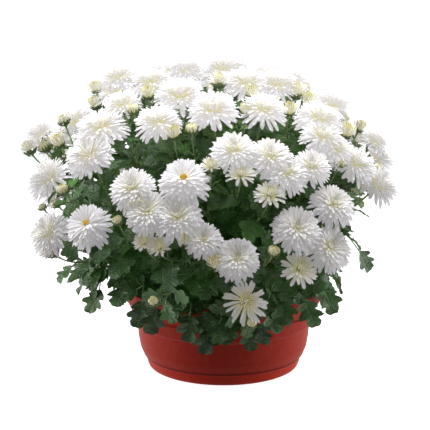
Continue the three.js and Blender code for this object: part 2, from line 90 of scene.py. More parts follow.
# Each spray is its view and its heads as (across, up, diameter, stage, depth inside the dome).
SPRAYS = (
    (FRONT, (-41, 350, 42, OPEN), (-1, 353, 36, OPEN)),
    (FRONT, (-121, 342, 51, OPEN), (-147, 330, 19, HALF), (-83, 337, 54, OPEN),
     (-87, 324, 21, HALF)),
    (FRONT, (-50, 321, 65, OPEN), (-37, 282, 14, BUD)),
    (FRONT, (-12, 304, 63, OPEN), (-5, 337, 30, BRUSH)),
    (FRONT, (-116, 311, 47, OPEN), (-104, 305, 14, BUD), (-141, 285, 65, OPEN)),
    (FRONT, (-76, 291, 58, OPEN), (-58, 278, 21, HALF)),
    (FRONT, (-211, 277, 42, OPEN), (-185, 293, 26, HALF), (-225, 259, 28, BRUSH),
     (-208, 261, 14, BUD), (-191, 268, 21, HALF)),
    (FRONT, (-156, 252, 61, OPEN), (-187, 211, 14, BUD)),
    (FRONT, (-203, 225, 58, OPEN), (-212, 190, 9, BUD)),
    (FRONT, (-106, 212, 58, OPEN), (-101, 197, 28, HALF)),
    (FRONT, (-46, 221, 64, EYED), (-15, 238, 26, BRUSH)),
    (FRONT, (-158, 168, 58, EYED), (-124, 174, 12, BUD)),
    (FRONT, (-88, 185, 58, OPEN), (-93, 147, 28, BRUSH), (-83, 76, 12, BUD)),
    (FRONT, (-54, 178, 62, OPEN), (-75, 141, 30, BRUSH)),
    (FRONT, (-204, 160, 56, OPEN), (-202, 138, 30, BRUSH)),
    (FRONT, (-23, 151, 46, OPEN), (-45, 154, 28, HALF), (-9, 125, 28, HALF)),
    (FRONT, (25, 336, 56, OPEN), (32, 325, 21, HALF)),
    (FRONT, (61, 334, 56, OPEN), (76, 305, 21, HALF), (83, 325, 33, BRUSH), (97, 316, 23, HALF)),
    (FRONT, (46, 305, 58, OPEN), (25, 305, 18, HALF)),
    (FRONT, (110, 295, 61, OPEN), (125, 311, 47, OPEN)),
    (FRONT, (113, 273, 54, OPEN), (101, 238, 51, OPEN)),
    (FRONT, (142, 280, 23, HALF), (157, 285, 19, HALF), (174, 268, 40, OPEN), (179, 237, 9, BUD)),
    (FRONT, (128, 259, 51, OPEN), (135, 243, 14, BUD), (153, 242, 56, OPEN)),
    (FRONT, (12, 257, 58, OPEN), (20, 229, 37, SPREAD)),
    (FRONT, (54, 250, 56, OPEN), (72, 231, 58, OPEN), (54, 205, 41, SPREAD)),
    (FRONT, (128, 194, 58, OPEN), (179, 216, 54, OPEN)),
    (FRONT, (86, 165, 61, OPEN), (59, 137, 14, BUD)),
    (FRONT, (124, 142, 58, OPEN), (90, 116, 47, SPREAD)),
    (FRONT, (16, 129, 55, OPEN), (27, 76, 55, LOOSE), (33, 49, 12, BUD)),
    (RIGHT, (45, 205, 54, OPEN), (84, 225, 26, BRUSH)),
    (RIGHT, (5, 160, 56, OPEN, 60), (-30, 184, 24, HALF, 40)),
    (RIGHT, (62, 138, 54, OPEN, 60), (28, 116, 26, BRUSH, 62)),
    (BACK, (-70, 344, 50, OPEN), (-128, 322, 54, OPEN), (-100, 334, 22, HALF)),
    (BACK, (10, 344, 54, OPEN), (-40, 326, 24, HALF), (52, 336, 16, BUD)),
    (BACK, (80, 330, 52, OPEN), (128, 296, 56, OPEN), (100, 312, 22, HALF)),
    (BACK, (-100, 292, 60, OPEN), (-72, 306, 14, BUD)),
    (BACK, (-8, 304, 62, OPEN), (18, 282, 26, BRUSH)),
    (BACK, (52, 292, 58, OPEN), (84, 284, 28, BRUSH)),
    (BACK, (-178, 282, 54, OPEN), (-206, 262, 26, BRUSH), (-152, 306, 22, HALF)),
    (BACK, (-142, 246, 60, OPEN), (-112, 232, 14, BUD), (-98, 190, 60, OPEN)),
    (BACK, (-66, 248, 62, OPEN), (-38, 226, 28, HALF)),
    (BACK, (16, 240, 60, OPEN), (50, 232, 14, BUD)),
    (BACK, (90, 240, 60, OPEN), (130, 244, 26, BRUSH), (110, 190, 50, OPEN)),
    (BACK, (160, 244, 56, OPEN), (182, 214, 26, HALF), (150, 274, 20, HALF)),
    (BACK, (-202, 216, 56, OPEN), (-172, 196, 28, BRUSH), (-152, 154, 58, OPEN)),
    (BACK, (-20, 180, 62, OPEN), (-60, 182, 28, HALF), (-84, 124, 56, OPEN)),
    (BACK, (62, 172, 58, OPEN), (30, 186, 14, BUD), (30, 116, 58, OPEN)),
    (BACK, (104, 130, 56, OPEN), (138, 160, 30, BRUSH, 20)),
    (LEFT, (40, 222, 54, OPEN), (70, 246, 24, HALF)),
    (LEFT, (22, 172, 54, OPEN, 8), (64, 190, 26, BRUSH)),
    (LEFT, (78, 150, 54, OPEN, 10), (50, 134, 14, BUD, 20)),
    (ABOVE, (-2, 6, 58, OPEN), (-44, -4, 50, OPEN)),
    (ABOVE, (50, 0, 56, OPEN), (26, -34, 22, HALF)),
)

# The lowest leaves, charted like the heads, as (across, up, length).
SKIRT_LEAVES = (
    (FRONT, (-150, 80, 40), (-118, 90, 42), (-98, 65, 40), (-81, 57, 40), (-41, 48, 40),
     (-19, 34, 42), (-5, 42, 34), (11, 38, 28), (31, 35, 36), (45, 40, 32), (56, 57, 38),
     (71, 70, 44), (100, 66, 42), (123, 82, 42), (164, 128, 38)),
    (RIGHT, (-84, 84, 40), (-58, 68, 42), (-28, 84, 42), (4, 66, 40), (36, 80, 44), (64, 66, 42)),
    (BACK, (-118, 70, 44), (-92, 56, 42), (-66, 64, 44), (-38, 46, 42), (-12, 60, 44),
     (16, 48, 42), (44, 62, 42), (70, 50, 44), (96, 66, 42), (120, 78, 42)),
    (LEFT, (-74, 80, 42), (-40, 66, 42), (-8, 84, 44), (26, 68, 42), (58, 80, 42), (84, 92, 40)),
)

# How the cuttings stand and fork, as in the frame: lengths in millimetres, and leanings as
# shares of a direction.
CUTTINGS = 5
CUTTING_RING = 52
CROWN_LEAN = 4
CROWN_FOOT = 62
CROWN_TOP = 116
FORK_LOWEST = 94
FORK_SPACING = 4.5
FORK_LEVELS = 5
SHARING = 5
BRANCH_ARCH = 14
LOWEST_SPRAY_BASE = 116
SPRAY_LENGTH = 72
FACING_UP = 0.7
YOUNG_FACING_UP = 1.2
LEAF_SPREAD = 0.8
LEAF_OUT = 0.7
LEAF_RISE = 0.15
SKIRT_OUT = 0.45
SKIRT_DROOP = 0.9
PETIOLE_OVER_RIM = 8
# Takes the height out of a direction.
LEVEL = np.array([1, 1, 0])

GOLDEN_ANGLE = math.radians(137.5)


def unit(vector):
    return vector / np.linalg.norm(vector, axis=-1, keepdims=True)


class Curve:
    """A quadratic curve from its start to its end, drawn towards its bow."""

    def __init__(self, start, bow, end):
        self.start = start
        self.bow = bow
        self.end = end

    def at(self, share):
        share = np.asarray(share)[..., None]
        bowed = 2 * share * (1 - share) * self.bow
        return (1 - share) ** 2 * self.start + bowed + share ** 2 * self.end

    def way(self, share):
        """Its direction at a share of its length."""
        return unit(2 * (1 - share) * (self.bow - self.start) + 2 * share * (self.end - self.bow))

    def points(self, count):
        return self.at(np.linspace(0, 1, count))


def seen_on(form, view, across, up):
    """Where a line of sight first meets an ellipsoid, or its nearest point to one it misses."""
    eye = np.array(view.eye, float)
    sight = across * view.across + up * view.up + view.level * Z - eye
    start = (eye - form.centre) / form.axes
    scaled = sight / form.axes
    along = start @ scaled
    reach = scaled @ scaled
    root = math.sqrt(max(0.0, along * along - reach * (start @ start - 1)))
    return eye + sight * (-along - root) / reach


class Head:
    """One flower head: where it is, which way it faces, how wide it is and how far it is open."""

    def __init__(self, view, across, up, diameter, stage, inside=0):
        point = seen_on(DOME, view, across, up)
        # A head nearer to the eye than the dome's centre looks wider than it is.
        shrink = np.linalg.norm(point - view.eye) / np.linalg.norm(DOME.centre - view.eye)
        point = point + unit(DOME.centre - point) * inside
        square = unit((point - DOME.centre) / DOME.axes ** 2)
        self.point = point * MM
        rise = FACING_UP if stage in FULL_BLOWN else YOUNG_FACING_UP
        self.facing = unit(square + rise * Z)
        self.radius = diameter * MM / 2 * min(1.0, shrink)
        self.stage = stage


class Crown:
    """The woody foot of one rooted cutting, from which its branches fork."""

    def __init__(self, index):
        angle = 2 * math.pi * index / CUTTINGS - math.pi / 2
        self.name = f"cutting_{index + 1}"
        self.out = np.array([math.cos(angle), math.sin(angle), 0.0])
        self.foot = (CUTTING_RING * self.out + CROWN_FOOT * Z) * MM
        self.top = ((CUTTING_RING + CROWN_LEAN) * self.out + CROWN_TOP * Z) * MM
        self.forks = 0

    def next_fork(self):
        height = (FORK_LOWEST + FORK_SPACING * (self.forks % FORK_LEVELS)) * MM
        self.forks += 1
        share = (height - self.foot[2]) / (self.top[2] - self.foot[2])
        return self.foot + (self.top - self.foot) * share


class Spray:
    """The heads at the end of one branch, and the branch."""

    def __init__(self, index, row, crowns):
        view, *heads = row
        self.name = f"flower_spray_{index + 1:02d}"
        self.index = index
        self.heads = [Head(view, *head) for head in heads]
        middle = np.mean([head.point for head in self.heads], axis=0)
        self.crown = min(crowns, key=lambda crown: self.gap(crown, middle))
        fork = self.crown.next_fork()
        self.base = middle + unit(fork - middle) * SPRAY_LENGTH * MM
        self.base[2] = max(self.base[2], LOWEST_SPRAY_BASE * MM)
        bow = (fork + self.base + self.crown.out * BRANCH_ARCH * MM) / 2
        self.branch = Curve(fork, bow + Z * BRANCH_ARCH * MM, self.base)

    @staticmethod
    def gap(crown, middle):
        """How far a crown is, which counts as farther the more branches it bears."""
        return np.hypot(*(crown.top - middle)[:2]) + SHARING * MM * crown.forks


crowns = [Crown(index) for index in range(CUTTINGS)]
sprays = [Spray(index, row, crowns) for index, row in enumerate(SPRAYS)]

# ---------- settings


def colour(name, description, default):
    return bpy.props.FloatVectorProperty(
        name=name, description=description, default=default, subtype="COLOR", min=0, max=1)


def length(name, description, default):
    return bpy.props.FloatProperty(
        name=name, description=description, default=default, unit="LENGTH", subtype="DISTANCE")


class BloomSettings(bpy.types.PropertyGroup):
    """Sizes and colours of the flower heads."""
    droop: length("Droop", "How far the tips of an open bloom sag", 0.003)
    white: colour("White", "Petals of an open bloom", (0.74, 0.73, 0.755))
    cream: colour("Cream", "Innermost and youngest petals", (0.80, 0.775, 0.47))
    young_green: colour("Young green", "Tint of petals in a bud", (0.54, 0.52, 0.14))
    eye_yellow: colour("Eye yellow", "Disc florets", (0.64, 0.45, 0.020))
    calyx_green: colour("Calyx green", "Bracts under a head", (0.16, 0.24, 0.09))


class FoliageSettings(bpy.types.PropertyGroup):
    """Sizes and colours of stems and leaves."""
    leaf_length: length("Leaf length", "Blade of a full-grown leaf", 0.038)
    leaf_width: length("Leaf width", "Lobe to lobe, along the side veins", 0.044)
    leaf_thickness: length("Leaf thickness", "Thickness of a blade", 0.0005)
    stalk_radius: length("Stalk radius", "Flower stalk under its head", 0.00105)
    branch_radius: length("Branch radius", "Branch at its fork", 0.0024)
    leaf_dark: colour("Leaf dark", "Upper side of old leaves", (0.010, 0.037, 0.0055))
    leaf_light: colour("Leaf light", "Upper side of young leaves", (0.062, 0.178, 0.023))
    leaf_under: colour("Leaf underside", "Downy underside", (0.085, 0.135, 0.075))
    stem_green: colour("Stem green", "Stalks and branches", (0.310, 0.430, 0.165))
    bark: colour("Bark", "Woody crown at the soil", (0.120, 0.085, 0.045))


class PotSettings(bpy.types.PropertyGroup):
    """Sizes and colours of the pot and its soil."""
    red: colour("Terracotta red", "Moulded plastic", (0.365, 0.0170, 0.0068))
    bloom: colour("Chalky bloom", "Pale dust on the plastic", (0.445, 0.056, 0.031))
    peat: colour("Peat", "Moist potting soil", (0.030, 0.018, 0.011))


class StageSettings(bpy.types.PropertyGroup):
    """Floor, light and camera."""
    lens: bpy.props.FloatProperty(
        name="Lens", description="Focal length on a 36 mm sensor", default=118.8, unit="CAMERA")
    pitch: bpy.props.FloatProperty(
        name="Pitch", description="How far the camera looks down",
        default=math.radians(12.05), subtype="ANGLE")
    camera: bpy.props.FloatVectorProperty(
        name="Camera", description="Where the camera stands",
        default=(-0.010, -1.62, 0.526), subtype="TRANSLATION")
    floor: colour("Floor", "Pale studio floor", (0.36, 0.36, 0.36))


SETTINGS = {
    "bloom_settings": BloomSettings,
    "foliage_settings": FoliageSettings,
    "pot_settings": PotSettings,
    "stage_settings": StageSettings,
}

# ---------- shader expressions


class Wire:
    """An output socket, so that sums on sockets read as plain expressions."""

    def __init__(self, shader, socket):
        self.shader = shader
        self.socket = socket

    def __add__(self, other):
        return self.shader.maths("ADD", self, other)

    def __sub__(self, other):
        return self.shader.maths("SUBTRACT", self, other)

    def __rsub__(self, other):
        return self.shader.maths("SUBTRACT", other, self)

    def __mul__(self, other):
        return self.shader.maths("MULTIPLY", self, other)

    def __pow__(self, other):
        return self.shader.maths("POWER", self, other)

    __radd__ = __add__
    __rmul__ = __mul__


class Shader:
    """The node tree of a material or a world, written as expressions."""

    def __init__(self, name, kind=bpy.data.materials, surface="Principled BSDF"):
        self.owner = kind.new(name)
        self.owner.use_nodes = True
        self.tree = self.owner.node_tree
        self.surface = self.tree.nodes[surface]

    def node(self, kind, settings=None, inputs=None):
        """Adds a node: its settings first, then the values or links of its sockets."""
        node = self.tree.nodes.new(kind)
        for name, value in (settings or {}).items():
            setattr(node, name, value)
        for key, value in (inputs or {}).items():
            self.feed(node.inputs[key], value)
        return node

    def feed(self, socket, value):
        if isinstance(value, Wire):
            self.tree.links.new(value.socket, socket)
        else:
            socket.default_value = value

    def wire(self, kind, settings=None, inputs=None, output=0):
        """One output of a new node."""
        return Wire(self, self.node(kind, settings, inputs).outputs[output])

    def maths(self, operation, first, second=0.0):
        return self.wire("ShaderNodeMath", {"operation": operation}, {0: first, 1: second})

    def clamped(self, value):
        return self.wire("ShaderNodeClamp", {}, {"Value": value})

    def smooth(self, value, low, high):
        """0 below low, 1 above high, and an even rise between them."""
        inputs = {"Value": value, "From Min": low, "From Max": high}
        return self.wire("ShaderNodeMapRange", {"interpolation_type": "SMOOTHSTEP"}, inputs)

    def band(self, value, rise, fall):
        """1 between a rise and a fall, each given as (low, high)."""
        return self.smooth(value, *rise) * (1 - self.smooth(value, *fall))

    def mix(self, factor, first, second):
        """Mixes two colours. Sockets 6 and 7 of the node are its colours, output 2 the result."""
        inputs = {0: factor, 6: rgba(first), 7: rgba(second)}
        return self.wire("ShaderNodeMix", {"data_type": "RGBA"}, inputs, 2)

    def layers(self, colour, *covers):
        """Lays colours over one another, each given as (how strongly, colour)."""
        for strength, cover in covers:
            colour = self.mix(strength, colour, cover)
        return colour

    def place(self):
        """Where a point lies, in the frame's coordinates."""
        return self.wire("ShaderNodeTexCoord", output="Object")

    def noise(self, scale, detail=2.0, stretch=(1, 1, 1)):
        place = self.wire("ShaderNodeMapping", {}, {0: self.place(), 3: stretch})
        inputs = {"Vector": place, "Scale": scale, "Detail": detail}
        return self.wire("ShaderNodeTexNoise", {}, inputs)

    def paint(self):
        """The four values that the mesh carries at each point."""
        source = self.node("ShaderNodeAttribute", {"attribute_name": "paint"})
        inputs = {0: Wire(self, source.outputs["Color"])}
        parts = self.node("ShaderNodeSeparateColor", {}, inputs)
        return [Wire(self, out) for out in (*parts.outputs, source.outputs["Alpha"])]

    def backside(self):
        """1 on a face that is seen from behind."""
        return self.wire("ShaderNodeNewGeometry", output="Backfacing")

    def height(self):
        """How high a point lies."""
        return self.wire("ShaderNodeSeparateXYZ", {}, {0: self.place()}, 2)

    def bump(self, height, distance, strength=1.0):
        inputs = {"Height": height, "Distance": distance, "Strength": strength}
        return self.wire("ShaderNodeBump", {}, inputs)

    def set(self, **inputs):
        """Feeds the surface, as in set(base_color=..., roughness=0.6)."""
        for name, value in inputs.items():
            title = name.replace("_", " ").title().replace("Ior", "IOR")
            socket = self.surface.inputs[title]
            self.feed(socket, rgba(value) if socket.type == "RGBA" else value)
        return self.owner


def rgba(value):
    """A colour with its alpha, or the value unchanged."""
    if isinstance(value, (Wire, float, int)):
        return value
    value = tuple(value)
    return value + (1.0,) if len(value) == 3 else value


# ---------- mesh building


class Shape:
    """Points, faces and painted values, gathered part by part and made into one object."""

    def __init__(self):
        self.points = []
        self.paint = []
        self.creases = []
        self.faces = []
        self.slots = []
        self.count = 0

    def add(self, points, faces, paint=(0, 0, 0, 0), slot=0, crease=0):
        """faces is a list of arrays; an edge between two points of the same crease is sharp."""
        points = np.asarray(points, float).reshape(-1, 3)
        self.points.append(points)
        self.paint.append(np.broadcast_to(np.asarray(paint, float), (len(points), 4)))
        self.creases.append(np.broadcast_to(crease, len(points)))
        for group in faces:
            self.faces.extend((np.asarray(group) + self.count).tolist())
            self.slots.append(np.broadcast_to(slot, len(group)))
        self.count += len(points)

    def take(self, other, axes, origin, scale=1.0, droop=0.0):
        """Adds another shape turned to the given axes, moved, scaled and sagging outwards."""
        local = np.concatenate(other.points) * scale
        points = origin + local @ axes.T
        points[:, 2] -= droop * (local[:, 0] ** 2 + local[:, 1] ** 2)
        self.points.append(points)
        self.paint += other.paint
        self.creases += other.creases
        self.faces.extend([[index + self.count for index in face] for face in other.faces])
        self.slots += other.slots
        self.count += other.count

    def make(self, name, *materials):
        mesh = bpy.data.meshes.new(name)
        mesh.from_pydata(np.concatenate(self.points).tolist(), [], self.faces)
        mesh.polygons.foreach_set("material_index", np.concatenate(self.slots))
        mesh.polygons.foreach_set("use_smooth", np.ones(len(self.faces), bool))
        edges = np.empty(len(mesh.edges) * 2, np.int32)
        mesh.edges.foreach_get("vertices", edges)
        creases = np.concatenate(self.creases)[edges.reshape(-1, 2)]
        sharp = (creases[:, 0] > 0) & (creases[:, 0] == creases[:, 1])
        mesh.attributes.new("sharp_edge", "BOOLEAN", "EDGE").data.foreach_set("value", sharp)
        layer = mesh.color_attributes.new("paint", "FLOAT_COLOR", "POINT")
        layer.data.foreach_set("color", np.concatenate(self.paint).astype(np.float32).ravel())
        for material in materials:
            mesh.materials.append(material)
        mesh.update()
        piece = bpy.data.objects.new(name, mesh)
        bpy.context.scene.collection.objects.link(piece)
        return piece


def bend_normals(mesh, lean):
    """Turns the shading at each point by a lean, as light that spreads through thin petals does."""
    normals = np.empty(len(mesh.vertices) * 3, np.float32)
    mesh.vertex_normals.foreach_get("vector", normals)
    mesh.normals_split_custom_set_from_vertices(unit(normals.reshape(-1, 3) + lean).tolist())


def place(piece, slot, *nodes):
    """Lets a piece stand for nodes of the frame: attaches it to the root body and hides the nodes.
    The slot it is given is not used.
    """
    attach(piece, "root")
    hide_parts(*nodes)


def ring_faces(rows, sides):
    """Quads between rings of points, and fans to the two end points that follow them."""
    turn = np.arange(sides)
    after = (turn + 1) % sides
    low = sides * np.arange(rows - 1)[:, None]
    high = low + sides
    walls = np.stack([low + turn, low + after, high + after, high + turn], axis=-1).reshape(-1, 4)
    last = (rows - 1) * sides
    first = np.stack([np.full(sides, rows * sides), after, turn], axis=-1)
    end = np.stack([np.full(sides, rows * sides + 1), last + turn, last + after], axis=-1)
    return [walls, first, end]


def add_tube(shape, path, radii, sides, slot=0, age=0.0):
    """A stem along a path, closed at both ends. It paints (along, around, age, 0)."""
    path = np.asarray(path, float)
    steps = len(path)
    ways = unit(np.gradient(path, axis=0))
    side = unit(np.cross(ways[0], Z if abs(ways[0][2]) < 0.9 else X))
    angles = 2 * np.pi * np.arange(sides) / sides
    rings = []
    for point, way, radius in zip(path, ways, radii):
        side = unit(side - way * (side @ way))
        other = np.cross(way, side)
        ring = np.cos(angles)[:, None] * side + np.sin(angles)[:, None] * other
        rings.append(point + ring * radius)
    points = np.concatenate(rings + [path[:1], path[-1:]])
    paint = np.zeros((len(points), 4))
    paint[:-2, 0] = np.repeat(np.linspace(0, 1, steps), sides)
    paint[:-2, 1] = np.tile(np.arange(sides) / sides, steps)
    paint[-1, 0] = 1
    paint[:, 2] = age
    shape.add(points, ring_faces(steps, sides), paint, slot)


def around_axis(radius, turn, height=0.0):
    """A point at a radius about +Z."""
    return np.array([radius * math.cos(turn), radius * math.sin(turn), height])


def add_lathe(shape, profile, sides, slot=0, paint=(0, 0, 0, 0)):
    """A solid of revolution about +Z, from a profile that starts and ends on the axis."""
    profile = np.asarray(profile, float)
    inner = profile[1:-1]
    angles = 2 * np.pi * np.arange(sides) / sides
    ring = np.stack([np.cos(angles), np.sin(angles), np.zeros(sides)], axis=-1)
    rings = inner[:, None, :1] * ring + inner[:, None, 1:] * Z
    ends = np.array([[0, 0, profile[0][1]], [0, 0, profile[-1][1]]])
    points = np.concatenate([rings.reshape(-1, 3), ends])
    shape.add(points, ring_faces(len(inner), sides), paint, slot)


# ---------- petals and bracts

# The outline of a strap as (along, share of the full width).
Outline = namedtuple("Outline", "along width")
LONG_PETAL = Outline(np.array([0.0, 0.28, 0.56, 0.80, 0.94, 1.0]),
                     np.array([0.45, 0.76, 0.95, 1.0, 0.80, 0.40]))
SHORT_PETAL = Outline(np.array([0.0, 0.45, 0.80, 0.94, 1.0]),
                      np.array([0.50, 0.90, 1.0, 0.80, 0.40]))
BRACT = Outline(np.array([0.0, 0.36, 0.72, 1.0]), np.array([0.80, 1.0, 0.75, 0.10]))

# One ring of petals: how many, how long as a share of the radius, how steeply they rise at the
# foot and at the tip in degrees, and how wide as a share of the head's petal width. Petals that
# are shorter than SHORT_BELOW have fewer points.
Whorl = namedtuple("Whorl", "count length foot_rise tip_rise width")
SHORT_BELOW = 0.55


def whorls(*rows):
    return [Whorl(*row) for row in rows]


# petal_width, foot and neck are shares of the radius: the widest petal, how far out the
# outermost petals stand and how far under the middle the stalk ends. youth is 0 in a full-blown
# head and 1 in a bud.
Style = namedtuple("Style", "whorls bracts petal_width foot neck youth")

OPEN_BRACTS = whorls(
    (13, 0.30, 10, 24, 1.0), (11, 0.24, 0, 36, 1.0))
CUP_BRACTS = whorls(
    (13, 0.80, 12, 74, 1.0), (10, 0.56, 2, 58, 1.0))
BUD_BRACTS = whorls(
    (12, 1.75, 0, 112, 1.0), (10, 1.20, 0, 84, 1.0))

OPEN_WHORLS = whorls(
    (13, 1.00, -10, -29, 1.45), (17, 1.00, -4, -19, 1.25), (20, 1.00, 2, -10, 1.12),
    (22, 1.00, 8, -1, 1.04), (24, 1.00, 14, 7, 1.00), (24, 1.00, 20, 15, 1.00),
    (23, 0.99, 26, 23, 1.00), (22, 0.97, 32, 31, 1.00), (20, 0.92, 38, 40, 0.97),
    (16, 0.80, 45, 50, 0.92), (12, 0.58, 52, 74, 0.80), (10, 0.38, 52, 108, 0.66),
    (7, 0.28, 62, 122, 0.58))
EYED_WHORLS = whorls(
    (14, 1.00, -9, -28, 1.40), (19, 1.00, -3, -18, 1.20), (22, 1.00, 4, -8, 1.10),
    (24, 1.00, 11, 2, 1.02), (24, 1.00, 18, 11, 1.00), (24, 0.99, 25, 20, 1.00),
    (22, 0.97, 32, 28, 0.98), (19, 0.93, 39, 36, 0.95))
LOOSE_WHORLS = whorls(
    (9, 1.00, -6, -20, 1.15), (11, 1.00, 2, -8, 1.05), (11, 0.97, 11, 3, 1.00),
    (12, 0.84, 24, 20, 0.85), (15, 0.78, 30, 84, 0.58), (14, 0.75, 38, 98, 0.55),
    (12, 0.71, 47, 108, 0.52), (10, 0.66, 58, 115, 0.50), (7, 0.60, 70, 120, 0.48))
SPREAD_WHORLS = whorls(
    (9, 1.00, -6, -20, 1.15), (11, 1.00, 8, -1, 1.10), (12, 1.00, 21, 17, 1.00),
    (13, 0.95, 34, 35, 0.84), (14, 0.84, 44, 60, 0.62), (13, 0.74, 50, 90, 0.54),
    (12, 0.66, 56, 105, 0.50), (10, 0.60, 64, 114, 0.46), (7, 0.54, 76, 120, 0.44))
BRUSH_WHORLS = whorls(
    (9, 1.10, 12, 14, 1.25), (12, 1.16, 26, 31, 1.12), (13, 1.18, 37, 45, 0.92),
    (13, 1.16, 46, 60, 0.72), (13, 1.08, 52, 80, 0.60), (12, 1.00, 58, 98, 0.54),
    (10, 0.92, 66, 110, 0.50), (7, 0.84, 78, 118, 0.46))
CUP_WHORLS = whorls(
    (7, 1.15, 4, -6, 0.95), (12, 1.18, 38, 46, 1.00), (12, 1.22, 48, 60, 1.00),
    (11, 1.22, 57, 70, 0.95), (10, 1.18, 65, 79, 0.90), (8, 1.12, 73, 86, 0.85),
    (6, 1.05, 80, 92, 0.80))
TIGHT_WHORLS = whorls(
    (11, 1.70, 34, 84, 1.0), (11, 1.78, 46, 90, 1.0), (10, 1.74, 56, 94, 1.0),
    (8, 1.66, 66, 96, 0.9), (6, 1.56, 78, 96, 0.8))
BUD_WHORLS = whorls(
    (9, 2.70, 4, 160, 1.0), (8, 2.55, 14, 166, 1.0), (6, 2.30, 26, 172, 0.9))

STYLES = {
    OPEN: Style(OPEN_WHORLS, OPEN_BRACTS, 0.155, 0.18, 0.33, 0.0),
    EYED: Style(EYED_WHORLS, OPEN_BRACTS, 0.165, 0.22, 0.33, 0.0),
    LOOSE: Style(LOOSE_WHORLS, OPEN_BRACTS, 0.215, 0.44, 0.33, 0.32),
    SPREAD: Style(SPREAD_WHORLS, OPEN_BRACTS, 0.265, 0.34, 0.42, 0.38),
    BRUSH: Style(BRUSH_WHORLS, CUP_BRACTS, 0.26, 0.30, 0.62, 0.50),
    HALF: Style(CUP_WHORLS, CUP_BRACTS, 0.19, 0.30, 0.62, 0.60),
    TIGHT: Style(TIGHT_WHORLS, CUP_BRACTS, 0.34, 0.26, 0.86, 0.75),
    BUD: Style(BUD_WHORLS, BUD_BRACTS, 0.80, 0.12, 0.94, 1.0),
}
TIGHT_RADIUS = 0.0125


def style_of(head):
    """The build of a head. The smallest half-open heads are still tight."""
    tight = head.stage == HALF and head.radius < TIGHT_RADIUS
    return STYLES[TIGHT if tight else head.stage]


# How unlike the petals of a whorl are. PLACING is a share of their spacing, REACHES and WIDTHS are
# ranges, and LEAN, CURL and TWIST, in degrees, and SWAY are standard deviations.
PLACING = 0.22
REACHES = (0.89, 1.05)
WIDTHS = (0.85, 1.1)
LEAN = 2.2
CURL = 4.5
TWIST = 7
SWAY = 0.06
# How many degrees one side of a whorl rises more, how late along a petal its curl comes, and how
# far its tip rounds out as a share of its half width.
LOPSIDED = 3
CURL_POWER = 1.3
TIP_ROUNDING = 0.3


def petal_faces(count, stations):
    """Faces of petals that have three points a station: an edge, the middle and the other edge."""
    low = 3 * np.arange(stations - 1)[:, None, None] + np.arange(2)[:, None]
    walls = low + np.array([0, 1, 4, 3])
    shift = 3 * stations * np.arange(count)[:, None, None, None]
    return (walls + shift).reshape(-1, 4)


def add_whorl(shape, rng, whorl, radius, foot, outline, width, cup, paint, wildness=1.0, slot=0):
    """A ring of channelled petals about +Z, standing at foot = (radius, height).

    It paints (along, across) and then the two values of paint.
    """
    count = whorl.count
    stations = outline.along
    azimuth = 2 * np.pi * (np.arange(count) + rng.uniform(-PLACING, PLACING, count)) / count
    azimuth = azimuth + rng.uniform(0, 2 * np.pi)
    reach = radius * whorl.length * rng.uniform(*REACHES, count)
    lean = rng.normal(0, LEAN * wildness, count) + LOPSIDED * wildness * np.sin(azimuth)
    lean = np.radians(lean)
    curl = np.radians(rng.normal(0, CURL * wildness, count))
    rise_foot = np.radians(whorl.foot_rise) + lean
    rise_tip = np.radians(whorl.tip_rise) + lean + curl
    twist = np.radians(rng.normal(0, TWIST * wildness, count))[:, None]
    sway = rng.normal(0, SWAY * wildness, count)[:, None]
    half = width * whorl.width * rng.uniform(*WIDTHS, count)[:, None] / 2 * outline.width
    rise = rise_foot[:, None] + (rise_tip - rise_foot)[:, None] * stations ** CURL_POWER
    middle_rise = (rise[:, 1:] + rise[:, :-1]) / 2
    steps = reach[:, None] * np.diff(stations)
    start = np.zeros((count, 1))
    away = foot[0] + np.concatenate([start, np.cumsum(np.cos(middle_rise) * steps, 1)], 1)
    height = foot[1] + np.concatenate([start, np.cumsum(np.sin(middle_rise) * steps, 1)], 1)
    turned = azimuth[:, None] + sway * stations ** 2
    out = np.stack([np.cos(turned), np.sin(turned), np.zeros_like(turned)], axis=-1)
    centre = away[..., None] * out + height[..., None] * Z
    along, upward = np.cos(rise)[..., None], np.sin(rise)[..., None]
    way = along * out + upward * Z
    face = along * Z - upward * out
    side = np.cross(way, face)
    turn = (twist * stations)[..., None]
    flat, tilted = np.cos(turn), np.sin(turn)
    side, face = flat * side + tilted * face, flat * face - tilted * side
    edge = half[..., None] * side
    raised = (cup * half)[..., None] * face
    middle = centre.copy()
    middle[:, -1] += way[:, -1] * TIP_ROUNDING * half.max(axis=1)[:, None]
    points = np.stack([centre - edge + raised, middle, centre + edge + raised], axis=2)
    painted = np.zeros((count, len(stations), 3, 4))
    painted[..., 0] = stations[None, :, None]
    painted[..., 1] = np.array([0.0, 0.5, 1.0])
    painted[..., 2:] = paint
    shape.add(points, [petal_faces(count, len(stations))], painted.reshape(-1, 4), slot)


# Material slots of a head; its petals have slot 0.
CALYX, EYE = 1, 2
# The radius of a wide head, which sags by the droop setting and has the thickest stalk.
WIDE_HEAD = 0.03
# How far the normals of full-blown petals lean to their head's axis.
PETAL_SOFTNESS = 0.9
# How heads of one style differ: how steeply their petals rise, in degrees, and how much shorter
# the inner ones are.
OPENING = 3.5
FULLNESS = 0.6
# Where petals stand, in shares of the head's radius: how far the innermost are drawn in, and the
# height of the outermost and how much higher the innermost are. That of a closed head is over
# its neck. A brush is just as young as YOUNG: its petals stand like an open head's, but its
# bracts are as wide as a bud's.
YOUNG = 0.5
DRAWN_IN = 0.85
OPEN_SEAT = (-0.20, 0.30)
CLOSED_SEAT = (0.08, 0.05)
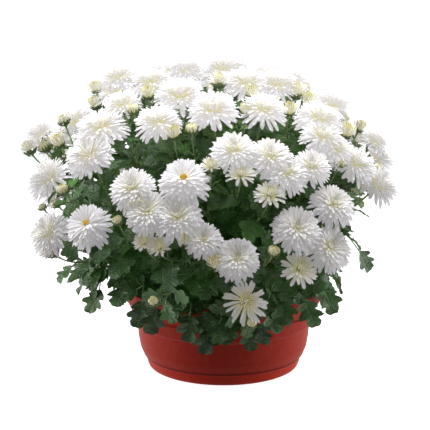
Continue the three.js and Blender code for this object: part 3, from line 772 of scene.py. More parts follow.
# How deep the channel of an outer petal is, how much deeper that of the innermost or youngest,
# and how much more alike young petals are.
CUP = 0.12
DEEPER_CUP = 0.25
YOUNG_CALM = 0.3
BRACT_WIDTH = 0.0036
BUD_BRACT_WIDTH = 0.42
BRACT_RING = 0.0012
BRACT_STEP = np.array([0.0004, 0.0007])
BRACT_CUP = 0.35
BRACT_WILDNESS = 0.4
# The disc of an eyed head. Its dome is EYE_TOP high in the middle, and FLORET is the section of
# a floret in shares of its size.
EYE_FLORETS = 46
EYE_RADIUS = 0.0040
EYED_HEAD_RADIUS = 0.029
EYE_TOP = 0.0066
EYE_DOMING = 60
FLORET_SIZE = 0.00062
FLORET = np.array([[0.0, -1.2], [0.75, -1.0], [1.0, 0.1], [0.6, 0.9], [0.0, 1.1]])


def flower_head(head, rng):
    """A head about its own axis: its petals from the outside in, and its bracts and its eye."""
    style = style_of(head)
    radius = head.radius
    opening = rng.normal(0, OPENING) * (1 - style.youth)
    fullness = rng.uniform(0.0, FULLNESS) * (1 - style.youth)
    low, higher = OPEN_SEAT
    if style.youth > YOUNG:
        low, higher = CLOSED_SEAT[0] - style.neck, CLOSED_SEAT[1]
    petals = Shape()
    last = len(style.whorls) - 1
    for rank, whorl in enumerate(style.whorls):
        share = rank / last
        whorl = whorl._replace(length=whorl.length ** (1 + fullness),
                               foot_rise=whorl.foot_rise + opening,
                               tip_rise=whorl.tip_rise + opening)
        foot = radius * np.array([style.foot * (1 - DRAWN_IN * share), low + higher * share])
        cup = CUP + DEEPER_CUP * share + DEEPER_CUP * style.youth
        outline = SHORT_PETAL if whorl.length < SHORT_BELOW else LONG_PETAL
        order = 0.0 if head.stage == EYED else share
        add_whorl(petals, rng, whorl, radius, foot, outline, radius * style.petal_width, cup,
                  (order, style.youth), 1 - YOUNG_CALM * style.youth)
    points = np.concatenate(petals.points)
    spread = np.percentile(np.hypot(points[:, 0], points[:, 1]), 99)
    fitted, rest = Shape(), Shape()
    fitted.take(petals, np.eye(3), np.zeros(3), radius / spread)
    bract_width = BUD_BRACT_WIDTH * radius if style.youth >= YOUNG else BRACT_WIDTH
    for rank, whorl in enumerate(style.bracts):
        foot = np.array([BRACT_RING, -style.neck * radius]) + BRACT_STEP * (1 - rank)
        add_whorl(rest, rng, whorl, radius, foot, BRACT, bract_width, BRACT_CUP,
                  (rank, style.youth), BRACT_WILDNESS, CALYX)
    if head.stage == EYED:
        add_eye(rest, rng, EYE_RADIUS * (radius / EYED_HEAD_RADIUS) ** 4)
    return fitted, rest


def add_eye(shape, rng, radius):
    """The disc florets in the middle of a head, on a low dome."""
    for index in range(EYE_FLORETS):
        away = radius * math.sqrt((index + 0.5) / EYE_FLORETS)
        seat = around_axis(away, index * GOLDEN_ANGLE, EYE_TOP - EYE_DOMING * away ** 2)
        floret = Shape()
        add_lathe(floret, FLORET * FLORET_SIZE * rng.uniform(0.85, 1.15), 6, EYE,
                  (rng.uniform(), 0, 0, 0))
        shape.take(floret, np.eye(3), seat)


def turned_to(facing, roll):
    """Axes whose third column is the facing, rolled about it."""
    side = unit(np.cross(facing, X if abs(facing[0]) < 0.7 else Y))
    first = math.cos(roll) * side + math.sin(roll) * np.cross(facing, side)
    return np.stack([first, np.cross(facing, first), facing], axis=-1)


# ---------- leaves

# The half outline of a leaf: how far up the midrib a side vein leaves, and how far it runs as a
# share of the blade's half width. The lows are the bays between the lobes.
LEAF_OUTLINE = np.array([
    (0.00, 0.06), (0.03, 0.22), (0.06, 0.46), (0.10, 0.66), (0.14, 0.72), (0.18, 0.80),
    (0.22, 0.75), (0.25, 0.66), (0.28, 0.52), (0.31, 0.56), (0.34, 0.76), (0.38, 0.90),
    (0.42, 0.94), (0.46, 1.00), (0.50, 0.92), (0.53, 0.82), (0.56, 0.62), (0.59, 0.54),
    (0.63, 0.60), (0.68, 0.68), (0.73, 0.63), (0.78, 0.61), (0.84, 0.50), (0.90, 0.41),
    (0.95, 0.26), (1.00, 0.06)])
SMALL_LEAF_OUTLINE = np.array([
    (0.00, 0.08), (0.06, 0.44), (0.14, 0.76), (0.21, 0.74), (0.28, 0.50), (0.36, 0.88),
    (0.46, 1.00), (0.54, 0.78), (0.60, 0.54), (0.70, 0.66), (0.84, 0.52), (1.00, 0.06)])
# Where side veins run into their lobes, along either outline.
LEAF_VEINS = (0.14, 0.18, 0.46, 0.70, 0.73, 0.90)
NARROW_OUTLINE = np.array([
    (0.00, 0.10), (0.18, 0.50), (0.40, 0.95), (0.62, 0.92), (0.84, 0.50), (1.00, 0.04)])
# Where the columns of a blade's points lie between its edges.
WIDE_COLUMNS = np.array([-1.0, -0.52, 0.0, 0.52, 1.0])
FEW_COLUMNS = np.array([-1.0, 0.0, 1.0])
# Material slots of stems and leaves.
UPPER, UNDER, STEM, BARK = 0, 1, 2, 3
# In degrees, how steeply side veins leave the midrib at its foot, how much less at its tip, and
# the standard deviation of that.
VEIN_ANGLE, VEIN_CLOSING, VEIN_SPREAD = 72, 28, 3
# How unlike leaves are: standard deviations, and the ranges of their fold along the midrib and of
# their droop.
OUTLINE_SPREAD = 0.04
SWING = 0.16
AGE_SPREAD = 0.30
FOLDS = (0.05, 0.35)
DROOPS = (0.7, 1.4)
# The waves of a blade's edge, in shares of its length and radians along it, and the bulge of the
# blade beside its midrib.
WAVE_HEIGHT = 0.055
WAVES_ALONG = 11
BULGE = 0.012
# A petiole's length as a share of its leaf's, and its radii at the stem and at the leaf.
PETIOLE = 0.26
PETIOLE_RADII = (0.0013, 0.0009)


def add_leaf(shape, rng, base, direction, face, size, width, thickness, outline, droop, age,
             fine=False):
    """A blade from its base along a direction, its upper side towards face.

    A fine one has five columns of points, the others three. It paints (along, across, vein, age).
    """
    along, reach = outline.T
    spread = (WIDE_COLUMNS if outline is LEAF_OUTLINE and fine else FEW_COLUMNS)[None]
    rows, columns = len(along), spread.size
    lobed = outline is not NARROW_OUTLINE
    jitter = rng.normal(1, OUTLINE_SPREAD, (rows, 2)) if lobed else np.ones((rows, 2))
    half = width / 2 * reach[:, None] * jitter
    sweep = np.radians(VEIN_ANGLE - VEIN_CLOSING * along + rng.normal(0, VEIN_SPREAD))[:, None]
    run = np.where(spread < 0, half[:, :1], half[:, 1:]) * np.abs(spread)
    across = np.sign(spread) * run * np.sin(sweep)
    up = size * along[:, None] * 0.95 + run * np.cos(sweep) * 0.75
    up *= size / up.max()
    fold = rng.uniform(*FOLDS)
    phase = np.where(spread < 0, *rng.uniform(0, 2 * np.pi, 2))
    bend = droop * rng.uniform(*DROOPS)
    wave = WAVE_HEIGHT * size * np.sin(WAVES_ALONG * along[:, None] + phase) * spread ** 2
    height = fold * np.abs(across) - bend * (up / size) ** 2 * size + wave
    height = height + BULGE * size * (1 - np.abs(2 * np.abs(spread) - 1)) * lobed
    swing = rng.normal(0, SWING) * (up / size) ** 2 * size
    local = np.stack([across + swing, up, height], axis=-1)
    direction = unit(direction)
    face = unit(face - direction * (face @ direction))
    axes = np.stack([np.cross(direction, face), direction, face], axis=-1)
    upper = base + local @ axes.T
    inner = np.zeros((rows, columns), bool)
    inner[1:-1, 1:-1] = True
    under = (upper - thickness * face)[inner]
    number = np.arange(rows * columns).reshape(rows, columns)
    below = number.copy()
    below[inner] = rows * columns + np.arange(inner.sum())
    paint = np.zeros((rows, columns, 4))
    paint[..., 0] = along[:, None]
    paint[..., 1] = np.abs(spread)
    if lobed:
        paint[..., 2] = np.isin(np.round(along, 2), LEAF_VEINS)[:, None]
    paint[..., 3] = age + rng.normal(0, AGE_SPREAD)
    top = np.stack([number[:-1, :-1], number[:-1, 1:], number[1:, 1:], number[1:, :-1]], axis=-1)
    bottom = np.stack([below[:-1, :-1], below[1:, :-1], below[1:, 1:], below[:-1, 1:]], axis=-1)
    top, bottom = top.reshape(-1, 4), bottom.reshape(-1, 4)
    slots = np.repeat([UPPER, UNDER], [len(top), len(bottom)])
    crease = np.concatenate([(~inner).ravel().astype(int), np.zeros(inner.sum(), int)])
    points = np.concatenate([upper.reshape(-1, 3), under])
    painted = np.concatenate([paint.reshape(-1, 4), paint[inner]])
    shape.add(points, [np.concatenate([top, bottom])], painted, slots, crease)


def add_sized_leaf(shape, rng, base, direction, face, size, sizes, droop, age,
                   outline=LEAF_OUTLINE, fine=False, breadth=1.0):
    """A leaf of the plant's usual thickness, and of its usual breadth or a share of that."""
    width = breadth * size * sizes.leaf_width / sizes.leaf_length
    add_leaf(shape, rng, base, direction, face, size, width, sizes.leaf_thickness, outline,
             droop, age, fine)


def add_petiole(shape, curve, radii, steps, sides, age):
    """The stem of a leaf, which thins evenly. Returns the points of its path."""
    path = curve.points(steps)
    add_tube(shape, path, np.linspace(*radii, steps), sides, STEM, age)
    return path


def add_stalked_leaf(shape, rng, foot, way, direction, face, size, sizes, age,
                     outline=LEAF_OUTLINE):
    """A lobed leaf on its petiole, which leaves the stem at foot."""
    direction = unit(direction)
    petiole = PETIOLE * size
    base = foot + direction * petiole * 0.92 + way * petiole * 0.25
    curve = Curve(foot - direction * 0.001, foot + direction * petiole * 0.6,
                  base + direction * 0.003)
    add_petiole(shape, curve, PETIOLE_RADII, 4, 5, 0.8)
    add_sized_leaf(shape, rng, base, direction, face, size, sizes, 0.25, age, outline)


def around(way, angle):
    """A unit vector square to a stem, turned about it."""
    side = unit(np.cross(way, Z if abs(way[2]) < 0.95 else X))
    return math.cos(angle) * side + math.sin(angle) * np.cross(way, side)


# Where leaves leave a flower stalk. Those below its middle are lobed and shrink upwards; the
# others are narrow bractlets.
STALK_LEAVES = (0.06, 0.18, 0.30, 0.44, 0.60, 0.78, 0.92)
STALK_LEAF = 0.034
BRACTLET = 0.015
BRACTLET_BREADTH = 0.26
BRACTLET_THICKNESS = 0.0004
# How far behind its head a stalk starts to bend, and how far it runs into the head's neck.
STALK_STRAIGHT = 0.030
NECK_OVERLAP = 0.0012


def add_stalk(shape, spray, head, rng, sizes):
    """A flower stalk, which meets its head from straight behind, and the leaves along it."""
    end = head.point - head.facing * (style_of(head).neck * head.radius - NECK_OVERLAP)
    stalk = Curve(spray.base, head.point - head.facing * STALK_STRAIGHT, end)
    share = np.linspace(0, 1, 12)
    thin = sizes.stalk_radius * (0.75 + 0.35 * min(1.0, head.radius / WIDE_HEAD))
    radii = thin * (1.35 - 0.35 * np.minimum(1, share * 3)) * (1 + 0.7 * share ** 14)
    add_tube(shape, stalk.at(share), radii, 6, STEM, 0.0)
    turn = rng.uniform(0, 2 * np.pi)
    for along in STALK_LEAVES:
        foot, way = stalk.at(along), stalk.way(along)
        turn += GOLDEN_ANGLE
        direction = around(way, turn) * 0.8 + way * 0.65
        face = way + Z * 0.3
        if along < 0.5:
            size = STALK_LEAF * rng.uniform(0.8, 1.15) * (1 - 0.9 * along)
            add_stalked_leaf(shape, rng, foot, way, direction, face, size, sizes, 0.8,
                             SMALL_LEAF_OUTLINE)
        else:
            size = BRACTLET * rng.uniform(0.7, 1.2) * (1.25 - along * 0.5)
            add_leaf(shape, rng, foot, direction, face, size, size * BRACTLET_BREADTH,
                     BRACTLET_THICKNESS, NARROW_OUTLINE, 0.2, 0.9)


# A crown's radius, how that shrinks upwards, and how knobbly its bark is.
CROWN_RADIUS = 0.0046
CROWN_TAPER = (1.15, 0.45)
CROWN_WOBBLE = 0.12


def add_crown(shape, crown, rng):
    """The woody foot of a cutting."""
    share = np.linspace(0, 1, 15)
    path = crown.foot + (crown.top - crown.foot) * share[:, None]
    wobble = 1 + CROWN_WOBBLE * rng.normal(size=15)
    radii = CROWN_RADIUS * wobble * (CROWN_TAPER[0] - CROWN_TAPER[1] * share)
    add_tube(shape, path, radii, 10, BARK)


# Where leaves leave a branch. The one at SIDE_LEAF stands out to the side, as its plate in the
# frame does.
SIDE_LEAF = 0.62
BRANCH_LEAVES = (0.12, 0.20, 0.27, 0.34, 0.40, 0.46, 0.51, 0.57, SIDE_LEAF, 0.67, 0.72, 0.76,
                 0.81, 0.85, 0.90, 0.94, 0.98)
BRANCH_LEAF_SIZES = (0.60, 0.95)


def add_branch(shape, spray, rng, sizes):
    """A branch and the leaves along it."""
    share = np.linspace(0, 1, 13)
    radii = sizes.branch_radius * (1 - 0.35 * share) * (1 + 0.06 * rng.normal(size=13))
    add_tube(shape, spray.branch.at(share), radii, 8, STEM, 0.4)
    turn = rng.uniform(0, 2 * np.pi)
    for along in BRANCH_LEAVES:
        foot, way = spray.branch.at(along), spray.branch.way(along)
        turn += GOLDEN_ANGLE
        outward = unit((foot - DOME.centre * MM) * LEVEL)
        if along == SIDE_LEAF:
            side = unit(np.cross(way, outward)) * (LEAF_SPREAD if spray.index % 2 else -LEAF_SPREAD)
            direction = side + outward * LEAF_OUT + Z * LEAF_RISE
        else:
            direction = around(way, turn) * 0.85 + way * 0.35 + outward * 0.25
        size = sizes.leaf_length * rng.uniform(*BRANCH_LEAF_SIZES) * (1 - max(0.0, along - 0.8))
        face = Z * 0.8 + outward * 0.5 + way * 0.2
        add_stalked_leaf(shape, rng, foot, way, direction, face, size, sizes, along)


# The old leaves at a crown: their number, how far they fan out in radians, how far their petioles
# reach, their sizes as shares of a full-grown leaf's, the radii of their petioles, and how far
# over the pot's rim they start at least.
BASAL_LEAVES = 22
BASAL_SPREAD = 0.85
BASAL_REACHES = (0.018, 0.052)
BASAL_LEAF_SIZES = (0.50, 0.85)
BASAL_RADII = (0.0014, 0.0009)
OVER_RIM = 0.003


def add_basal_leaves(shape, crown, rng, sizes):
    """The old leaves low on a cutting, which lie over the soil and the rim."""
    for _ in range(BASAL_LEAVES):
        turn = rng.uniform(-BASAL_SPREAD, BASAL_SPREAD)
        outward = math.cos(turn) * crown.out + math.sin(turn) * np.cross(Z, crown.out)
        foot = crown.foot + (crown.top - crown.foot) * rng.uniform(0.45, 0.98)
        away = rng.uniform(*BASAL_REACHES)
        base = foot + outward * away + Z * rng.uniform(0.000, 0.016)
        base[2] = max(base[2], POT_TOP + OVER_RIM)
        direction = unit(outward + Z * rng.uniform(-0.35, 0.25) + 0.3 * rng.normal(size=3))
        bend = (foot + base) / 2 + Z * 0.008
        curve = Curve(foot, bend, base + direction * 0.002)
        add_petiole(shape, curve, BASAL_RADII, 6, 5, 1.0)
        size = sizes.leaf_length * rng.uniform(*BASAL_LEAF_SIZES)
        add_sized_leaf(shape, rng, base, direction, Z + outward * 0.4, size, sizes, 0.3, 0.15,
                       fine=True)


# The leaves that hang over the rim: their blades as a share of the charted length, their breadth
# as a share of the usual one, the radii of their petioles, where on a branch these may start, and
# the two small leaves on a petiole as (step along it, side).
SKIRT_BLADE = 0.76
SKIRT_BREADTH = 0.92
SKIRT_RADII = (0.0011, 0.0007)
SKIRT_FROM = (0.5, 0.65, 0.8, 0.95)
SKIRT_SIDE_LEAVES = ((4, 0.8), (6, -0.8))


def skirt_point(view, row):
    """The middle of a skirt leaf, in millimetres. The skirt is narrower on the right side."""
    return seen_on(NARROW_SKIRT if view is RIGHT else SKIRT, view, row[0], row[1])


def shared_skirt():
    """Gives each skirt leaf to the crown it stands nearest to."""
    skirt = {crown.name: [] for crown in crowns}
    for view, *rows in SKIRT_LEAVES:
        for row in rows:
            middle = skirt_point(view, row) * MM
            crown = min(crowns, key=lambda one: np.hypot(*(one.top - middle)[:2]))
            skirt[crown.name].append((view, row))
    return skirt


def add_skirt_leaf(shape, view, row, branches, rng, sizes):
    """One of the lowest leaves, hanging over the rim on a long petiole with two small leaves."""
    middle = skirt_point(view, row)
    outward = unit((middle - SKIRT.centre) * LEVEL)
    direction = unit(outward * SKIRT_OUT - Z * SKIRT_DROOP)
    tip = middle * MM + direction * row[2] * MM / 2
    size = row[2] * MM * SKIRT_BLADE
    base = tip - direction * size
    stems = [spray.branch.at(share) for spray in branches for share in SKIRT_FROM]
    stems = [stem for stem in stems if stem[2] > base[2]] or stems
    stem = min(stems, key=lambda point: np.linalg.norm(point - base))
    bend = (stem + base) / 2
    bend[2] = max(stem[2], POT_TOP + PETIOLE_OVER_RIM * MM)
    curve = Curve(stem, bend, base + direction * 0.003)
    path = add_petiole(shape, curve, SKIRT_RADII, 9, 6, 1.3)
    to_eye = unit((np.array(view.eye) - middle) * LEVEL)
    face = outward * 0.5 + to_eye * 0.6 + Z * 0.35 + 0.15 * rng.normal(size=3)
    add_sized_leaf(shape, rng, base, direction, face, size, sizes, 0.1, 0.3, fine=True,
                   breadth=SKIRT_BREADTH)
    for step, turn in SKIRT_SIDE_LEAVES:
        way = unit(path[step + 1] - path[step - 1])
        aside = outward * 0.7 + np.cross(Z, outward) * turn * rng.uniform(0.6, 1.2) - Z * 0.45
        add_stalked_leaf(shape, rng, path[step], way, aside, outward * 0.6 + Z * 0.6,
                         size * rng.uniform(0.60, 0.85), sizes, 0.35)


# ---------- materials

# Tints beside the colours of the settings.
PETAL_SHADE, PETAL_GAP_SHADE, PETAL_EDGE_SHADE = (0.61, 0.60, 0.63), (0.27, 0.24, 0.05), (0.42, 0.40, 0.37)
BRACT_EDGE, BRACT_TIP, BRACT_DOWN = (0.33, 0.34, 0.17), (0.20, 0.16, 0.08), (0.36, 0.42, 0.30)
FLORET_ORANGE, POLLEN = (0.56, 0.29, 0.010), (0.70, 0.50, 0.06)
STEM_PALE, STEM_BROWN, STEM_OLD = (0.36, 0.45, 0.23), (0.16, 0.12, 0.07), (0.075, 0.150, 0.040)
LICHEN_GREY = (0.17, 0.16, 0.08)
UNDER_PALE, UNDER_VEIN = (0.16, 0.20, 0.13), (0.27, 0.33, 0.20)
LEAF_PATCH, LEAF_VEIN = (0.060, 0.105, 0.058), (0.15, 0.24, 0.11)
LEAF_QUILT, LEAF_DOWN = (0.085, 0.150, 0.070), (0.12, 0.18, 0.11)
POT_FOOT, POT_CREASE_SHADE, POT_SCRATCH = (0.56, 0.024, 0.007), (0.080, 0.005, 0.003), (0.62, 0.34, 0.29)
PEAT_DRY, PEAT_FIBRE = (0.075, 0.048, 0.030), (0.16, 0.11, 0.07)
FLOOR_PALE = (0.50, 0.50, 0.50)

# Painted light: a glow painted on the petals in place of the light that comes through them, painted
# brighter towards the top of the dome as if lit from above; low in the dome and at its top, and the
# heights in metres between which it changes. That of a leaf's underside, also a painted glow, is
# given between its veins and on them.
DOME_TOP = (0.20, 0.33)
WHITE_GLOW = ((0.16, 0.157, 0.162), (0.56, 0.55, 0.55))
HEART_GLOW = ((0.25, 0.23, 0.095), (0.64, 0.585, 0.29))
EDGE_SHADE_GLOW, GAP_SHADE_GLOW, BACK_GLOW = (0.07, 0.065, 0.05), (0.03, 0.025, 0.005), (0.50, 0.49, 0.47)
UNDER_GLOW = ((0.030, 0.075, 0.012), (0.07, 0.12, 0.04))

# Heights on the pot, in metres, between which its bands fade in and out: the foot band, and the
# painted shade in the groove above the foot and under the ledge.
FOOT_EDGE = (0.0125, 0.0150)
GROOVE_EDGES = ((0.0135, 0.0150), (0.0150, 0.0185))
LEDGE_EDGES = ((0.0700, 0.0722), (0.0722, 0.0750))

# How fast the fine lines run across a petal and round a stem, in radians over its width.
PETAL_FIBRES = 25.0
STEM_RIBS = 37.7


def petal_material(sizes):
    shader = Shader("White_petal")
    along, across, order, youth = shader.paint()
    middle = 1 - shader.maths("ABSOLUTE", across * 2 - 1)
    deep = shader.smooth(1 - along, 0.35, 0.95)
    base = shader.smooth(1 - along, 0.60, 1.0)
    closed = shader.smooth(youth, 0.55, 1.0)
    heart = shader.clamped(deep * (order * 0.35 + 0.45) + order ** 3 * 0.30
                           + youth * (order * 1.1 + 0.10) + closed * 0.3)
    green = shader.clamped(base * (order * 0.6 + youth * 0.8) + closed * 0.30)
    mottle = shader.noise(900.0, 3.0)
    shade = shader.smooth(mottle, 0.35, 0.75) * 0.08 + (1 - middle) * 0.06
    # Partly painted shade: the edges of the inner petals are darkened to olive low down, where the
    # petals shade one another, and glow less there; young petals also get an olive line along their
    # edges.
    inner = order * order * (1 - shader.smooth(along, 0.40, 0.85)) * 0.9
    gap = shader.smooth(1 - middle, 0.45, 0.95) * (youth * (order * 1.7 + 0.05) + inner)
    gap = shader.clamped(gap)
    # Painted shade: each petal is darkened along its two edges, and glows less there, so that
    # neighbouring petals stand apart.
    rim = shader.smooth(1 - middle, 0.60, 1.0) * 0.50
    colour = shader.layers(sizes.white, (heart, sizes.cream), (green, sizes.young_green),
                           (shade, PETAL_SHADE), (gap, PETAL_GAP_SHADE), (rim, PETAL_EDGE_SHADE))
    fibre = shader.maths("SINE", across * PETAL_FIBRES)
    relief = fibre * 0.5 + mottle * 0.6 + middle * 0.5
    # Painted light: the emission below is a painted glow in place of light coming through the
    # petals. It is painted brighter higher up the dome as if lit from above, brighter in the heart
    # and on the backs of open petals, and dimmer along the painted shade at edges and gaps.
    painted_top_light = shader.smooth(shader.height(), *DOME_TOP)
    painted_glow = shader.layers(shader.mix(painted_top_light, *WHITE_GLOW),
                         (shader.clamped(heart + green), shader.mix(painted_top_light, *HEART_GLOW)),
                         (rim, EDGE_SHADE_GLOW), (gap, GAP_SHADE_GLOW),
                         (shader.backside() * (1 - youth) * 0.60, BACK_GLOW))
    return shader.set(base_color=colour, roughness=0.7, normal=shader.bump(relief, 0.0002, 0.4),
                      specular_ior_level=0.2, emission_color=painted_glow, emission_strength=0.5)


def calyx_material(sizes):
    shader = Shader("Calyx_bract")
    along, across = shader.paint()[:2]
    edge = shader.smooth(shader.maths("ABSOLUTE", across * 2 - 1), 0.55, 1.0)
    down = shader.noise(1500.0, 2.0)
    colour = shader.layers(sizes.calyx_green, (edge * 0.6, BRACT_EDGE),
                           (shader.smooth(along, 0.7, 1.0) * 0.5, BRACT_TIP),
                           (down * 0.3, BRACT_DOWN))
    return shader.set(base_color=colour, roughness=0.7, normal=shader.bump(down, 0.0002, 0.4))


def eye_material(sizes):
    shader = Shader("Disc_floret")
    tone = shader.paint()[0]
    grain = shader.noise(3000.0, 2.0)
    colour = shader.layers(sizes.eye_yellow, (tone, FLORET_ORANGE), (grain * 0.3, POLLEN))
    return shader.set(base_color=colour, roughness=0.75, normal=shader.bump(grain, 0.0001, 0.5))


def stem_material(sizes):
    shader = Shader("Green_stem")
    around_it, age = shader.paint()[1:3]
    ribs = shader.maths("SINE", around_it * STEM_RIBS) * 0.5 + 0.5
    streak = shader.noise(260.0, 4.0, (1.0, 1.0, 0.25))
    colour = shader.layers(sizes.stem_green, (ribs * 0.3 + streak * 0.3, STEM_PALE),
                           (shader.smooth(streak, 0.55, 0.8) * 0.35, STEM_BROWN),
                           (age * 0.5, STEM_OLD))
    relief = ribs * 0.6 + streak
    return shader.set(base_color=colour, roughness=0.5, normal=shader.bump(relief, 0.0002, 0.5))


def bark_material(sizes):
    shader = Shader("Woody_crown")
    rings = shader.noise(140.0, 5.0, (1.0, 1.0, 0.3))
    colour = shader.mix(shader.smooth(rings, 0.35, 0.7), sizes.bark, LICHEN_GREY)
    return shader.set(base_color=colour, roughness=0.85, normal=shader.bump(rings, 0.001, 0.8))


def leaf_materials(sizes):
    """The finishes of a leaf's upper side and its underside."""
    return [leaf_material(sizes, under) for under in (False, True)]


def leaf_material(sizes, under):
    shader = Shader("Leaf_underside" if under else "Leaf_upper_side")
    across, vein, age = shader.paint()[1:]
    midrib = 1 - shader.smooth(across, 0.02, 0.11)
    veins = shader.clamped(midrib + shader.smooth(vein, 0.62, 0.98) * 0.8)
    blotch = shader.noise(55.0, 3.0)
    fine = shader.noise(900.0, 4.0)
    if under:
        colour = shader.layers(sizes.leaf_under, (blotch, UNDER_PALE), (veins * 0.55, UNDER_VEIN))
        relief = veins * 1.4 + fine * 0.5
        # Painted light: the underside is given a painted glow, brighter on its veins, in place of
        # light coming through the leaf.
        shader.set(roughness=0.85, sheen_weight=0.2,
                   emission_color=shader.mix(veins * 0.5, *UNDER_GLOW), emission_strength=0.6)
    else:
        quilt = shader.noise(240.0, 2.0)
        patch = shader.smooth(shader.noise(21.0, 1.0), 0.46, 0.62)
        tone = shader.clamped(age * 0.8 + shader.smooth(blotch, 0.4, 0.7) * 0.3)
        colour = shader.layers(sizes.leaf_dark, (tone, sizes.leaf_light),
                               (patch * 0.35, LEAF_PATCH), (veins * 0.40, LEAF_VEIN),
                               (shader.smooth(quilt, 0.45, 0.70) * 0.30, LEAF_QUILT),
                               (shader.smooth(fine, 0.45, 0.8) * 0.15, LEAF_DOWN))
        relief = veins * -1.5 + fine * 0.7 + quilt * 2.4
        shader.set(roughness=0.30 + blotch * 0.25, sheen_weight=0.0)
    return shader.set(base_color=colour, normal=shader.bump(relief, 0.0005, 0.9),
                      sheen_roughness=0.5, specular_ior_level=0.42)


def pot_material(sizes):
    shader = Shader("Terracotta_plastic")
    up = shader.height()
    cloud = shader.noise(11.0, 4.0)
    dust = shader.noise(170.0, 5.0, (1.0, 1.0, 0.5))
    grain = shader.noise(1400.0, 2.0)
    chalk = shader.clamped(shader.smooth(cloud * 0.55 + dust * 0.45, 0.42, 0.66) * 0.38
                           + shader.smooth(up, 0.02, 0.11) * 0.12)
    foot = 1 - shader.smooth(up, *FOOT_EDGE)
    # Painted shade: dark lines in the crease above the foot and under the ledge of the shoulder
    # band, which are also rougher.
    groove_shade, ledge_shade = shader.band(up, *GROOVE_EDGES), shader.band(up, *LEDGE_EDGES)
    speck = shader.smooth(grain, 0.66, 0.72)
    colour = shader.layers(sizes.red, (chalk, sizes.bloom), (foot * 0.6, POT_FOOT),
                           (groove_shade * 0.80 + ledge_shade * 0.60, POT_CREASE_SHADE),
                           (speck * 0.35, POT_SCRATCH))
    rough = 0.46 + chalk * 0.3 + grain * 0.08 + (groove_shade + ledge_shade) * 0.4
    relief = dust * 0.5 + grain * 0.35 + cloud * 0.6
    return shader.set(base_color=colour, roughness=rough, specular_ior_level=0.12,
                      normal=shader.bump(relief, 0.0004, 0.35), sheen_weight=0.12,
                      sheen_roughness=0.30, sheen_tint=(1.0, 0.45, 0.36))


def soil_material(sizes):
    shader = Shader("Peat_soil")
    clod = shader.noise(160.0, 6.0)
    fibre = shader.noise(900.0, 3.0, (1.0, 0.3, 1.0))
    colour = shader.layers(sizes.peat, (shader.smooth(clod, 0.35, 0.7), PEAT_DRY),
                           (shader.smooth(fibre, 0.62, 0.75) * 0.5, PEAT_FIBRE))
    relief = clod + fibre * 0.5
    return shader.set(base_color=colour, roughness=0.95, normal=shader.bump(relief, 0.0015, 0.9))


def floor_material(sizes):
    shader = Shader("Studio_floor")
    weave = shader.noise(400.0, 2.0)
    colour = shader.mix(weave * 0.04, sizes.floor, FLOOR_PALE)
    return shader.set(base_color=colour, roughness=0.9, normal=shader.bump(weave, 0.0002, 0.1),
                      emission_color=(1.0, 1.0, 1.0), emission_strength=0.94)


# ---------- pieces

# Each piece draws its random numbers from a seed of its own.
BLOOM_SEED, STALK_SEED, CUTTING_SEED, SOIL_SEED = 100, 300, 500, 900


class BuildBlooms(bpy.types.Operator):
    """Build the flower heads of every spray"""
    bl_idname = "plant.blooms"
    bl_label = "Flower heads"

    def execute(self, context):
        sizes = context.scene.bloom_settings
        finishes = (petal_material(sizes), calyx_material(sizes), eye_material(sizes))
        for spray in sprays:
            rng = np.random.default_rng(BLOOM_SEED + spray.index)
            shape = Shape()
            lean = []
            for head in spray.heads:
                petals, rest = flower_head(head, rng)
                axes = turned_to(head.facing, rng.uniform(0, 2 * np.pi))
                sag = sizes.droop / WIDE_HEAD ** 2 if head.stage in FULL_BLOWN else 0.0
                for part in (petals, rest):
                    shape.take(part, axes, head.point, droop=sag)
                soft = head.facing * PETAL_SOFTNESS * (1 - style_of(head).youth)
                lean += [np.tile(soft, (petals.count, 1)), np.zeros((rest.count, 3))]
            piece = shape.make(f"{spray.name}_heads", *finishes)
            bend_normals(piece.data, np.concatenate(lean))
            place(piece, "petals", spray.name)
        return {"FINISHED"}


class BuildStalks(bpy.types.Operator):
    """Build the flower stalks and the small leaves along them"""
    bl_idname = "plant.stalks"
    bl_label = "Flower stalks"

    def execute(self, context):
        sizes = context.scene.foliage_settings
        finishes = (*leaf_materials(sizes), stem_material(sizes))
        for spray in sprays:
            rng = np.random.default_rng(STALK_SEED + spray.index)
            shape = Shape()
            for head in spray.heads:
                add_stalk(shape, spray, head, rng, sizes)
            place(shape.make(f"{spray.name}_stalks", *finishes), "foliage", spray.name)
        return {"FINISHED"}


class BuildCuttings(bpy.types.Operator):
    """Build the woody crowns, the branches and their leaves"""
    bl_idname = "plant.cuttings"
    bl_label = "Branches and leaves"

    def execute(self, context):
        sizes = context.scene.foliage_settings
        finishes = (*leaf_materials(sizes), stem_material(sizes), bark_material(sizes))
        skirt = shared_skirt()
        for number, crown in enumerate(crowns):
            rng = np.random.default_rng(CUTTING_SEED + number)
            shape = Shape()
            add_crown(shape, crown, rng)
            branches = [spray for spray in sprays if spray.crown is crown]
            for spray in branches:
                add_branch(shape, spray, rng, sizes)
            add_basal_leaves(shape, crown, rng, sizes)
            for view, row in skirt[crown.name]:
                add_skirt_leaf(shape, view, row, branches, rng, sizes)
            place(shape.make(f"{crown.name}_foliage", *finishes), "foliage", crown.name)
        return {"FINISHED"}


